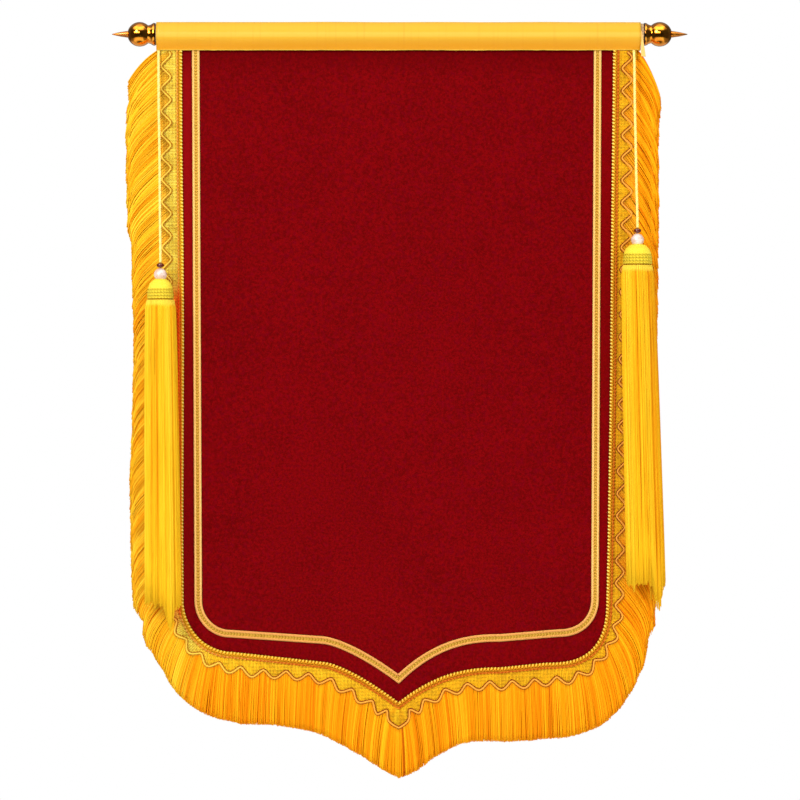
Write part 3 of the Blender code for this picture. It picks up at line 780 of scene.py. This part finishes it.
fringe = {
    "fan": 0.015, "points": 8, "steps": 14, "taper": [1.0, 1.0, 1.0, 1.0, 1.0, 0.98, 0.95, 0.8],
    "netPitch": 0.0031, "root": 0.002, "ripple": 0.0009,
    "sides": (("Left", 0.34), ("Middle", 0.66), ("Right", 1.0)),
    # for each yarn: a smooth part, the size of its clumps, a part of its own
    "lift": (0.025, 0.013, 0.012), "gather": (0.0008, 0.0055, 0.0003),
    # one row a layer: spacing, depth of root and tip, if it starts at the wave, yarn radius, length
    "layers": ((0.00078, -0.0035, -0.0027, True, 0.00043, 1.0),
               (0.00078, -0.0032, -0.0015, True, 0.00046, 1.005),
               (0.0013, -0.0008, -0.0004, False, 0.00056, 1.0),
               (0.0013, 0.0, 0.0008, False, 0.00056, 0.995),
               (0.001, 0.0006, 0.0019, False, 0.00072, 0.985)),
    # one row a place: share of the way round from the top left, length, the share of down in the
    # yarn's direction at its root and at its end, and how late it bends
    "hang": ((0.0, 0.044, 0.3, 0.64, 0.6), (0.006, 0.051, 0.46, 0.75, 1.4),
             (0.012, 0.0565, 0.47, 0.92, 2.5), (0.022, 0.0568, 0.46, 1.0, 3.0),
             (0.08, 0.055, 0.46, 1.0, 3.0), (0.09, 0.0482, 0.45, 1.0, 3.0),
             (0.15, 0.0442, 0.45, 1.0, 3.0), (0.2, 0.0474, 0.45, 1.0, 3.0),
             (0.23, 0.051, 0.45, 1.0, 3.0), (0.29, 0.049, 0.45, 1.0, 3.0),
             (0.307, 0.0458, 0.45, 1.0, 3.0), (0.312, 0.0404, 0.46, 1.0, 2.8),
             (0.318, 0.0366, 0.5, 1.0, 2.0), (0.324, 0.04, 0.5, 1.0, 2.0),
             (0.331, 0.0366, 0.5, 1.0, 2.0), (0.336, 0.033, 0.54, 0.97, 1.6),
             (0.35, 0.0302, 0.58, 0.85, 1.0), (0.36, 0.033, 0.55, 0.75, 1.0),
             (0.38, 0.0387, 0.5, 0.7, 1.0), (0.4, 0.0432, 0.5, 0.8, 1.0),
             (0.42, 0.0408, 0.55, 0.82, 1.0), (0.44, 0.0424, 0.6, 0.85, 1.0),
             (0.45, 0.0452, 0.65, 0.88, 1.0), (0.46, 0.0456, 0.7, 0.9, 1.0),
             (0.49, 0.0442, 0.7, 0.9, 1.0), (0.5, 0.0442, 0.7, 0.9, 1.0),
             (0.51, 0.0464, 0.7, 0.9, 1.0), (0.52, 0.046, 0.7, 0.9, 1.0),
             (0.54, 0.0442, 0.6, 0.85, 1.0), (0.58, 0.0484, 0.53, 0.82, 1.0),
             (0.6, 0.0484, 0.5, 0.8, 1.0), (0.62, 0.046, 0.5, 0.8, 1.0),
             (0.64, 0.041, 0.6, 0.85, 1.0), (0.656, 0.0404, 0.53, 0.92, 1.0),
             (0.66, 0.043, 0.5, 0.95, 1.0), (0.681, 0.045, 0.54, 1.0, 1.8),
             (0.691, 0.0565, 0.56, 1.0, 2.5), (0.72, 0.057, 0.58, 1.0, 2.5),
             (0.95, 0.054, 0.58, 1.0, 2.5), (0.985, 0.054, 0.6, 1.0, 2.5),
             (1.0, 0.0485, 0.44, 0.76, 0.35)),
}


def silkLook():
    look = Look("fringeSilk", 0.6, 0.05)
    x, _, z = look.xyz()
    tone = look.attribute("tone")
    share = look.attribute("share")
    left = look.ramp(tone, (0.0, (0.58, 0.14, 0.001)), (0.28, (0.84, 0.31, 0.003)),
                     (0.6, (0.91, 0.48, 0.012)), (1.0, (0.94, 0.67, 0.045)))
    right = look.ramp(tone, (0.0, (0.56, 0.12, 0.001)), (0.3, (0.83, 0.23, 0.001)),
                      (0.65, (0.92, 0.36, 0.003)), (1.0, (0.96, 0.49, 0.01)))
    colour = look.mix(x.above(-0.212, -0.18), left, right)
    checks = (x + z).wave(fringe["netPitch"]) * (x - z).wave(fringe["netPitch"])
    # near the heading the net still holds the yarn
    woven = x.size().below(0.2205, 0.222) * z.above(-0.53, -0.5)
    hatch = look.mix(checks.above(-0.3, 0.4), (0.5, 0.17, 0.006), (0.92, 0.58, 0.05))
    colour = look.mix(woven * (0.65 - x.above(-0.1, 0.1) * 0.35), colour, hatch)
    fibres = look.grain(1100.0)
    shade = share.above(0.0, 0.12) * 0.28 + 0.72
    colour = look.mix(1.0, colour, look.ramp(shade, (0.0, (0, 0, 0)), (1.0, (1, 1, 1))), "MULTIPLY")
    return look.cover(colour, fibres, 0.0002)


def clump(distance, layer, size):  # a smooth chance value along the fringe
    return noise.noise(Vector((distance / size, layer * 7.3 + 0.5, 0.25)))


def droopingLine(start, out, lead, length, reach, droops):
    # places and the distance gone, from the root: leaning outwards at first and downwards later
    first, last, bend, lift = droops
    step = (lead + reach) / fringe["steps"]
    line = [(start, 0.0)]
    for index in range(fringe["steps"]):
        past = clamp(((index + 0.5) * step - lead) / length)
        droop = min(1.0, max(0.05, first + (last - first) * past ** bend + lift * (0.3 + past)))
        run = (out * (1 - droop) + Vector((0.0, -1.0)) * droop).normalized()
        line.append((line[-1][0] + run * step, (index + 0.5) * step + step / 2))
    return line


def fringeYarn(distance, layer, chance):
    def uneven(name):
        smooth, size, own = fringe[name]
        return smooth * clump(distance, layer, size) + own * chance.uniform(-1, 1)

    _, rootDepth, tipDepth, fromWave, _, part = fringe["layers"][layer]
    loose = 1.0 if layer < len(fringe["layers"]) - 1 else 0.25  # the last layer closes the gaps
    out = outerTrail.out(distance, fringe["fan"])
    lead = fringe["root"]
    if fromWave:
        abreast = waveTrail.distanceAt(*outerTrail.station(distance))
        lead = gimp["width"] - gimp["waveMiddle"] - waveOut(abreast)
    length, first, last, bend = between(fringe["hang"], distance / outerTrail.length)
    lift, gather = loose * uneven("lift"), loose * uneven("gather")
    reach = 0.012 * clump(distance, layer, 0.01) + chance.uniform(-0.018, 0.008)
    reach = length * part * (1 + reach)
    start = outerTrail.at(distance) - out * lead
    line = droopingLine(start, out, lead, length, reach, (first, last, bend, lift))
    places = []
    for number in range(fringe["points"]):
        place, gone = line[int(number * fringe["steps"] / (fringe["points"] - 1))]
        past = clamp((gone - lead) / reach)
        ease = past * past * (3 - 2 * past)
        place = place + Vector((-out.y, out.x)) * gather * ease
        depth = rootDepth + (tipDepth - rootDepth) * ease
        depth += fringe["ripple"] * ease * clump(distance, layer + 3, 0.005)
        depth += billow(place.x, place.y) * (1 - 0.5 * ease)
        places.append((place.x, depth, place.y))
    tone = 0.61 + 0.26 * clump(distance, layer, 0.0018) + 0.09 * clump(distance, layer, 0.007)
    tone -= 1.1 * max(0.0, clump(distance, layer + 6, 0.0011) - 0.35)  # painted shade: the dark splits between clumps
    tone += 0.26 * chance.uniform(-1, 1)
    # painted shade: the layers further back are painted a little darker
    return places, clamp(tone - 0.04 * layer)


def makeFringe():
    chance = random.Random(5)
    groups = {side: {} for side, _ in fringe["sides"]}
    for layer, (spacing, _, _, fromWave, radius, _) in enumerate(fringe["layers"]):
        top = sleeveFoot - topDrop + 0.0006 if fromWave else 0.0004
        span = outerTrail.length - 2 * top
        count = round(span / spacing)
        for number in range(count):
            distance = top + span * (number + chance.uniform(0.1, 0.9)) / count
            side = next(side for side, end in fringe["sides"] if distance <= outerTrail.length * end)
            lines, tones, _ = groups[side].setdefault(radius, ([], [], radius))
            places, tone = fringeYarn(distance, layer, chance)
            lines.append(places)
            tones.append(tone)
    material = silkLook()
    for side, group in groups.items():
        piece = addYarns("fringe" + side, group.values(), fringe["taper"])
        finish(piece, material, "fringe_silk", "fringe")


makeFringe()


# Fringe tape: the narrow woven band behind the heading that holds the yarn

tape = {"width": 0.005, "front": -0.0011, "thickness": 0.0022}


def makeTape():
    look = Look("fringeTape", 0.65)
    along, _ = look.uv()
    ribs = along.wave(0.0012)
    colour = look.mix(ribs.above(-0.6, 0.6), (0.62, 0.2, 0.004), (0.92, 0.42, 0.01))
    rows = [(gimp["width"] - tape["width"] * share, tape["front"]) for share in (1, 0.5, 0)]
    piece = bentStrip("fringeTape", edgePath, rows, tape["thickness"])
    finish(piece, look.cover(colour, ribs, 0.0003), "fringe_silk", "fringe")


makeTape()


# Sleeve: a satin strip folded over the rod, its lips on the heading and on the panel's back

sleeve = {
    "length": 0.45, "satin": 0.001, "rodRadius": 0.01, "gap": 0.0003, "lip": 0.0011,
    "front": -0.0036, "back": 0.0018, "columns": 150, "rows": 44, "arcSteps": 36,
}


def satinLook():
    look = Look("satin", 0.36, 0.3)
    _, _, z = look.xyz()
    threads = look.grain((60.0, 2600.0, 2600.0))
    creases = look.grain((300.0, 12.0, 12.0))
    # painted shade: the sleeve's lower half is painted deeper orange
    low = z.below(-0.0125, -0.0015)
    colour = look.mix(low, (0.71, 0.39, 0.018), (0.73, 0.305, 0.002))
    # painted highlight: a paler band along the sleeve's middle
    band = ((z + 0.0011) / 0.0024).size().below(0.5, 1.3)
    colour = look.mix(band * 0.8, colour, (0.78, 0.465, 0.055))
    # painted highlight: a thin pale line along the bottom edge
    colour = look.mix(z.below(-0.0146, -0.014) * 0.8, colour, (0.88, 0.56, 0.06))
    # painted shade: darker in the creases
    colour = look.mix(creases.above(0.52, 0.75) * 0.25, colour, (0.66, 0.26, 0.008))
    height = threads * 0.3 + creases * 0.5
    return look.cover(colour, height, 0.0003)


def sleeveSection():  # y and z round the rod, from the front lip's foot to the back lip's
    radius = sleeve["rodRadius"] + 1.2 * sleeve["gap"] + sleeve["satin"] / 2
    ends = []
    for depth, turn in ((sleeve["front"], -1), (sleeve["back"], 1)):
        lip = Vector((depth, -sleeveFoot + sleeve["lip"]))
        ends.append((lip, atan2(lip.y, lip.x) + turn * acos(radius / lip.length)))
    (front, start), (back, end) = ends
    end -= tau * (start < 0)
    return Trail([Vector((front.x, -sleeveFoot)), front, *arc(radius, start, end, sleeve["arcSteps"]),
                  back, Vector((back.x, -sleeveFoot))])


def makeSleeve():
    section = sleeveSection()

    def spot(along, share):
        x = (along - 0.5) * sleeve["length"]
        place = section.at(section.length * share)
        seam = max(0.0, 1 - min(share, 1 - share) / 0.22)  # small gathers there, long ones all over
        pucker = noise.noise(Vector((x * 160.0, share * 3.0, 1.0))) * 0.00035 * seam
        pucker += noise.noise(Vector((x * 22.0, share * 5.0, 9.0))) * 0.00025
        place = place * (1 + pucker / max(place.length, 0.001))
        return x, place.x, place.y

    piece = addSheet("satinSleeve", sleeve["columns"], sleeve["rows"], spot, sleeve["satin"], 0.0,
                     facing=lambda face: face.normal.dot(face.calc_center_median()))
    finish(piece, satinLook(), "sleeve_satin", "sleeve")


hem = {"start": 0.2246, "width": (0.0044, 0.0011), "lean": 0.0008, "radius": 0.01018, "top": 0.0026,
       "foot": (-0.0036, -0.021), "thickness": 0.0002, "columns": 6, "rows": 24, "arcSteps": 12}


def makeTurnedEnd():  # the strip's turned-in end, which shows a little past the sleeve on the right
    foot = Vector(hem["foot"])
    low = atan2(foot.y, foot.x) - acos(hem["radius"] / foot.length)
    high = -pi - asin(hem["top"] / hem["radius"])
    section = Trail([foot] + arc(hem["radius"], low, high, hem["arcSteps"]))

    def spot(along, share):
        place = section.at(section.length * share)
        width = hem["width"][0] + (hem["width"][1] - hem["width"][0]) * share
        return hem["start"] + hem["lean"] * (1 - share) + width * along, place.x, place.y

    piece = addSheet("turnedEnd", hem["columns"], hem["rows"], spot, hem["thickness"], 0.0, True)
    look = Look("turnedSatin", 0.5, 0.2)
    along, share = look.uv()
    threads = look.grain((2200.0, 60.0, 60.0))
    colour = look.mix(threads, (0.92, 0.5, 0.12), (1.0, 0.66, 0.22))
    # painted shade: the strip's outer edge, low down by the finial, is painted near black
    colour = look.mix(along.above(0.66, 0.8) * share.below(0.3, 0.45), colour, (0.1, 0.03, 0.01))
    finish(piece, look.cover(colour, threads, 0.0002), "sleeve_satin", "sleeve")


makeSleeve()
makeTurnedEnd()


# Finials: turned caps of polished gold

finial = {
    "collar": ((0.0, 0.01), (0.0006, 0.0105), (0.0018, 0.0106), (0.003, 0.01), (0.0048, 0.0089),
               (0.0066, 0.0084)),
    "ballCentre": 0.0149, "ballRadius": 0.0114, "ballSteps": 28,
    "spike": ((0.0264, 0.0031), (0.029, 0.0027), (0.033, 0.0021), (0.037, 0.0012), (0.0404, 0.0004),
              (0.0409, 0.0)),
    "rodEnd": 0.2269, "shift": 0.0011, "sides": 72,
}


def goldLook():
    look = Look("polishedGold", 0.1, Metallic=1.0, Coat_Weight=0.4, Coat_Roughness=0.04)
    x, _, _ = look.xyz()
    wear = look.grain(260.0, 4.0)
    colour = look.mix(wear.above(0.35, 0.75), (0.9, 0.28, 0.008), (0.94, 0.39, 0.018))
    out = (x - finial["shift"]).size() - finial["rodEnd"]
    foot = out.below(0.0008, 0.0014)
    # painted shade and dark reflection: the collar's foot, beside the sleeve, is painted near black
    colour = look.mix(foot * 0.92, colour, (0.03, 0.006, 0.002))
    spike = out.above(0.0262, 0.0266)  # rougher, so duller, and painted darker brown, more on the left, as a painted dark reflection
    colour = look.mix(spike * (0.9 - x.above(-0.1, 0.1) * 0.3), colour, (0.46, 0.15, 0.02))
    return look.cover(colour, wear, 0.00003, Roughness=wear * 0.1 + 0.05 + spike * 0.3)


def finialProfile():
    neck, tip = finial["collar"][-1][1], finial["spike"][0][1]
    radius = finial["ballRadius"]
    start, end = asin(tip / radius), pi - asin(neck / radius)
    ball = []
    for step in range(finial["ballSteps"] + 1):
        angle = start + (end - start) * step / finial["ballSteps"]
        ball.append((finial["ballCentre"] + radius * cos(angle), radius * sin(angle)))
    return list(finial["spike"][::-1]) + ball + list(finial["collar"][::-1]) + [(0.0, 0.0)]


def makeFinials():
    material = goldLook()
    for side, turn in (("left", -1), ("right", 1)):
        start = finial["shift"] + turn * finial["rodEnd"]
        profile = [(start + turn * out, 0.0, radius) for out, radius in finialProfile()]
        bm = turned(profile, (1.0, 0.0, 0.0), finial["sides"])
        piece = addMesh("goldFinial_" + side, bm)
        piece.data.set_sharp_from_angle(angle=radians(50))
        finish(piece, material, "finial_gold", "finial_" + side)


makeFinials()


# Tassels: a bound head, a rim and a long skirt of yarn in folds

# warm: how much darker and more orange each tassel's right side is painted, as painted shade
tassels = {
    "left": dict(x=-0.2203, top=0.2286, head=0.0123, skirt=0.0136, low=0.0169, length=0.284,
                 drift=0.0025, grooves=(-101, -44, 8, 66, 121, 187), warm=0.05,
                 wisp=(-64, 14, 0.017), slant=0.005),
    "right": dict(x=0.2211, top=0.1965, head=0.0136, skirt=0.0144, low=0.018, length=0.294,
                  drift=0.008, grooves=(-100, -52, -142, 12, 80, 150), warm=0.22,
                  wisp=(-49, 16, 0.022), slant=0.0),
}
tassel = {
    "depth": -0.0204, "headHeight": 0.0181, "groove": 0.0008, "ribSwell": 0.00012, "ribsTop": 0.52,
    "dome": ((0.0, -0.06), (0.25, -0.05), (0.55, 0.02), (0.8, 0.2), (0.95, 0.48), (1.0, 0.8),
             (1.0, 0.96)),
    "flatten": ((0.0, 1.0), (0.3, 0.82), (0.75, 0.76), (1.0, 0.74)),
    "points": 9, "grooveWidth": 0.1, "grooveDepth": 0.08, "ribs": 0.1667, "sides": 80,
    "spacing": 0.0006, "taper": [1.0] * 8 + [0.7],
    # one row a layer: how many yarns, share of the skirt's radius, yarn radius
    "layers": ((420, 0.97, 0.00042), (330, 0.88, 0.00048), (170, 0.68, 0.00065),
               (90, 0.42, 0.00085)),
}
bead = {"radius": 0.006, "seat": 0.00639, "seatAngle": 0.8, "spacerRadius": 0.0036,
        "spacerHeight": 0.0048, "gap": 0.0003}


def skirtLook():
    look = Look("tasselSilk", 0.55, 0.05)
    tone = look.attribute("tone")
    fibres = look.grain((1400.0, 1400.0, 60.0))
    streaks = look.grain((300.0, 300.0, 8.0))
    colour = look.ramp(tone + (streaks - 0.5) * 0.55, (0.0, (0.6, 0.16, 0.002)),
                       (0.3, (0.79, 0.31, 0.003)), (0.62, (0.86, 0.49, 0.011)),
                       (1.0, (0.91, 0.66, 0.034)))
    share = look.attribute("share")
    # painted light: the yarn ends are painted brighter
    colour = look.mix(share.above(0.8, 0.97) * 0.55, colour, (1.0, 0.58, 0.014))
    rim = share.below(0.035, 0.095)  # the pale band under the head
    colour = look.mix(rim * 0.8, colour, (0.97, 0.71, 0.07))
    return look.cover(colour, fibres, 0.0002)


def headLook():
    look = Look("tasselHead", 0.6, 0.06)
    around, height = look.uv()
    stitched = height.below(0.5, 0.58)
    ribs = height.wave(tassel["ribs"])
    slanted = (around * (tau * 26) + height * 40.0).sine()
    fibres = look.grain(1300.0)
    colour = look.mix(fibres.above(0.3, 0.7), (0.82, 0.6, 0.03), (0.92, 0.77, 0.07))
    # painted shade: darker in the dips between the wound ribs
    ribDipShade = (0.5 - ribs * 0.6).above(0.2, 1.0)
    colour = look.mix(stitched * ribDipShade * 0.38, colour, (0.66, 0.36, 0.008))
    colour = look.mix(stitched * slanted.above(0.0, 0.8) * 0.55, colour, (0.72, 0.42, 0.012))
    # painted shade: darker at the head's foot, where it meets the groove
    colour = look.mix(height.below(0.01, 0.05) * 0.7, colour, (0.42, 0.2, 0.008))
    relief = stitched * (ribs + slanted * 0.4) + fibres * 0.4
    return look.cover(colour, relief, 0.0006)


def makeHead(side, row):
    foot = -row["top"] - tassel["headHeight"]
    profile = [(share * row["head"], -row["top"] - height * tassel["headHeight"])
               for share, height in tassel["dome"]]
    profile += [(row["head"] - tassel["groove"], foot), (row["skirt"] * 0.8, foot - 0.0006),
                (row["skirt"] * 0.78, foot - 0.004), (0.0, foot - 0.004)]
    fine = Trail([Vector(place) for place in profile]).evenly(tassel["spacing"])
    fine[0].x = fine[-1].x = 0.0
    bm = turned([(place.x, 0.0, place.y) for place in fine], (0.0, 0.0, 1.0), tassel["sides"])
    layer = bm.loops.layers.uv.verify()
    for face in bm.faces:
        middle = face.calc_center_median()
        heading = atan2(middle.y, middle.x)
        for loop in face.loops:
            angle = atan2(loop.vert.co.y, loop.vert.co.x) - heading
            angle = (angle + pi) % tau - pi + heading
            loop[layer].uv = (angle / tau, (loop.vert.co.z - foot) / tassel["headHeight"])
    for vert in bm.verts:  # the wound ribs stand up in the lower half
        height = (vert.co.z - foot) / tassel["headHeight"]
        if 0.0 < height < tassel["ribsTop"]:
            swell = tassel["ribSwell"] * sin(tau * height / tassel["ribs"])
            vert.co.xy *= 1 + swell / max(vert.co.xy.length, 0.001)
        vert.co += Vector((row["x"], tassel["depth"], 0.0))
    return addMesh("tasselHead_" + side, bm)


def apart(angle, degrees):
    return abs((angle - radians(degrees) + pi) % tau - pi)


def skirtYarn(row, layer, angle, chance):
    radiusShare, points = tassel["layers"][layer][1], tassel["points"]
    foot = -row["top"] - tassel["headHeight"] - tassel["groove"]
    near = min(apart(angle, groove) for groove in row["grooves"])
    groove = max(0.0, 1 - near / tassel["grooveWidth"])
    seed = Vector((cos(angle) * 2.5, sin(angle) * 2.5 + layer * 9, row["x"] * 40))
    crest = 1 - tassel["grooveDepth"] * groove
    lock = noise.noise(seed * 3.0) + 0.5 * noise.noise(seed)
    length = row["length"] * (1 - 0.012 * layer + 0.022 * lock + chance.uniform(-0.009, 0.005))
    wisp, width, extra = row["wisp"]
    length += extra * clamp(1.5 - apart(angle, wisp) / radians(width))
    length += row["slant"] * min(0.0, cos(angle))
    spread = chance.uniform(0.96, 1.03)
    wander = chance.uniform(0.0, 50.0)
    line = []
    for step in range(points):  # the first point is inside the head
        share = 0.03 + 0.97 * ((step - 1) / (points - 2)) ** 0.9 if step else 0.012
        radius = row["skirt"] + (row["low"] - row["skirt"]) * sqrt(share)
        dent = 1 - (1 - crest) * min(1.0, share * 8)
        radius *= radiusShare * (1.0 if step else 0.9) * spread * dent
        turn = angle + 0.05 * noise.noise(Vector((wander, share * 3.0, 2.0)))
        deep = radius * sin(turn) * between(tassel["flatten"], share)[0]
        line.append((row["x"] + radius * cos(turn) + row["drift"] * share, tassel["depth"] + deep,
                     foot - (length * share if step else 0.0)))
    # painted shade: yarns in the grooves are painted darker
    tone = 0.72 - 0.34 * groove + 0.15 * chance.uniform(-1, 1) + 0.28 * noise.noise(seed)
    # painted shade: each tassel is painted darker on its right side
    tone -= row["warm"] * (1 + 0.7 * cos(angle))
    # painted shade: the inner layers are painted darker
    return line, clamp(tone - 0.1 * layer)


def makeSkirt(side, row, chance):
    groups = []
    for layer, (count, _, radius) in enumerate(tassel["layers"]):
        angles = (tau * (number + chance.uniform(0.2, 0.8)) / count for number in range(count))
        lines, tones = zip(*(skirtYarn(row, layer, angle, chance) for angle in angles))
        groups.append((lines, list(tones), radius))
    return addYarns("tasselSkirt_" + side, groups, tassel["taper"])


def pearlLook():
    look = Look("pearl", 0.28, Coat_Weight=0.6, Coat_Roughness=0.06, IOR=1.5)
    cloud = look.grain(170.0, 3.0)
    colour = look.mix(cloud.above(0.35, 0.65), (0.68, 0.44, 0.33), (0.82, 0.7, 0.63))
    return look.paint(Base_Color=colour)


def amberLook():
    look = Look("amber", 0.2, 0.3, Coat_Weight=1.0, Coat_Roughness=0.05)
    cloud = look.grain(500.0, 2.0)
    return look.paint(Base_Color=look.mix(cloud, (0.05, 0.003, 0.001), (0.19, 0.02, 0.004)))


def makeBead(name, radius, height, centre):
    bm = bmesh.new()
    bmesh.ops.create_uvsphere(bm, u_segments=40, v_segments=24, radius=radius)
    bmesh.ops.scale(bm, vec=(1.0, 1.0, height / (2 * radius)), verts=bm.verts)
    bmesh.ops.translate(bm, vec=centre, verts=bm.verts)
    return addMesh(name, bm)


def makeTassels():
    chance = random.Random(23)
    silk, wound, pearl, amber = skirtLook(), headLook(), pearlLook(), amberLook()
    for side, row in tassels.items():
        finish(makeHead(side, row), wound, "tassel_silk", "tassel_" + side)
        finish(makeSkirt(side, row, chance), silk, "tassel_silk", "tassel_" + side)
        drop = row["top"] - bead["seat"] * cos(bead["seatAngle"])
        centre = Vector((row["x"], tassel["depth"], -drop))
        finish(makeBead("pearlBead_" + side, bead["radius"], 2 * bead["radius"], centre),
               pearl, "bead_pearl", "bead_" + side)
        above = Vector((0.0, 0.0, bead["radius"] + bead["gap"] + bead["spacerHeight"] / 2))
        finish(makeBead("amberSpacer_" + side, bead["spacerRadius"], bead["spacerHeight"],
                        centre + above), amber, "spacer_brown", "spacer_" + side)


makeTassels()


# The rod keeps its own solid, with a wooden grain

def woodLook():
    look = Look("rodWood", 0.6)
    grain = look.grain((8.0, 300.0, 300.0), 4.0)
    colour = look.mix(grain.above(0.35, 0.7), (0.33, 0.19, 0.09), (0.56, 0.38, 0.2))
    return look.cover(colour, grain, 0.0003)


dress(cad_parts["rod"], woodLook())


# Floor, light and air

studio = {
    "floorDrop": -1.05, "floorRadius": 1.0, "air": 0.8,
    # how bright the mirrored air is, ahead of the object and behind it: share of the way up, grey
    "ahead": ((0.0, 0.08), (0.02, 0.1), (0.05, 0.9), (0.1, 1.25), (0.2, 1.1), (0.27, 0.03),
              (0.52, 0.02), (0.72, 0.05), (0.78, 0.3), (0.84, 2.4), (0.95, 2.8), (1.0, 1.2)),
    "behind": ((0.0, 0.1), (0.03, 0.65), (0.22, 0.8), (0.32, 0.12), (0.5, 0.15), (0.75, 0.2),
               (0.95, 0.35), (1.0, 1.0)),
    # one row a lamp: name, place, size, power, colour
    "lamps": (("key", (-1.6, -2.4, 1.3), 1.2, 62.0, (1.0, 0.98, 0.95)),
              ("fill", (1.9, -2.6, 0.3), 1.6, 26.0, (1.0, 0.99, 0.97)),
              ("front", (0.0, -3.4, 0.35), 0.5, 9.0, (1.0, 1.0, 1.0)),
              ("rim", (0.6, 1.6, 1.4), 1.2, 26.0, (1.0, 1.0, 1.0))),
}


def makeStudio():
    bm = bmesh.new()
    bmesh.ops.create_circle(bm, cap_ends=True, segments=96, radius=studio["floorRadius"])
    bmesh.ops.translate(bm, vec=(0.0, 0.0, studio["floorDrop"]), verts=bm.verts)
    floor = addMesh("floor", bm)
    look = Look("floorPaint", 0.8)
    shade = look.grain(6.0, 3.0)
    floor.data.materials.append(
        look.paint(Base_Color=look.mix(shade, (0.8, 0.8, 0.79), (0.84, 0.84, 0.83))))
    floor.visible_glossy = False  # the finials mirror the air instead
    for name, place, size, power, colour in studio["lamps"]:
        lamp = bpy.data.lights.new(name, "AREA")
        lamp.shape = "DISK"
        lamp.size = size
        lamp.energy = power
        lamp.color = colour
        holder = put(name, lamp)
        holder.location = place
        holder.visible_glossy = name == "key"  # the others would add glints
        aim = view["middle"] - holder.location
        holder.rotation_euler = aim.to_track_quat("-Z", "Y").to_euler()
    air = Air("studioAir")
    x, y, z = air.parts("Generated")
    before, after = (air.ramp(z * 0.5 + 0.5, *[(place, (grey,) * 3) for place, grey in studio[part]])
                     for part in ("ahead", "behind"))
    mirrored = air.mix(y.above(-0.05, 0.05), before, after)
    mirrored = air.mix((x + 0.07).size().above(0.5, 0.72) * 0.8, mirrored, (0.05, 0.05, 0.05))
    lamp = (x + 0.36).size().below(0.34, 0.44) * (z - 0.26).size().below(0.09, 0.15)
    lamp = lamp * y.below(-0.2, 0.0)  # a long lamp, ahead on the left
    mirrored = air.mix(lamp, mirrored, (4.5, 4.5, 4.5))
    mirrors, camera = (air.node("LightPath", {}, {}, kind)
                       for kind in ("Is Glossy Ray", "Is Camera Ray"))
    lit = air.mix(mirrors, (studio["air"],) * 3, mirrored)
    scene.world = air.paint(Color=air.mix(camera, lit, (1.0, 1.0, 1.0)))
    scene.view_settings.view_transform = "Standard"
    scene.view_settings.look = "None"


makeStudio()
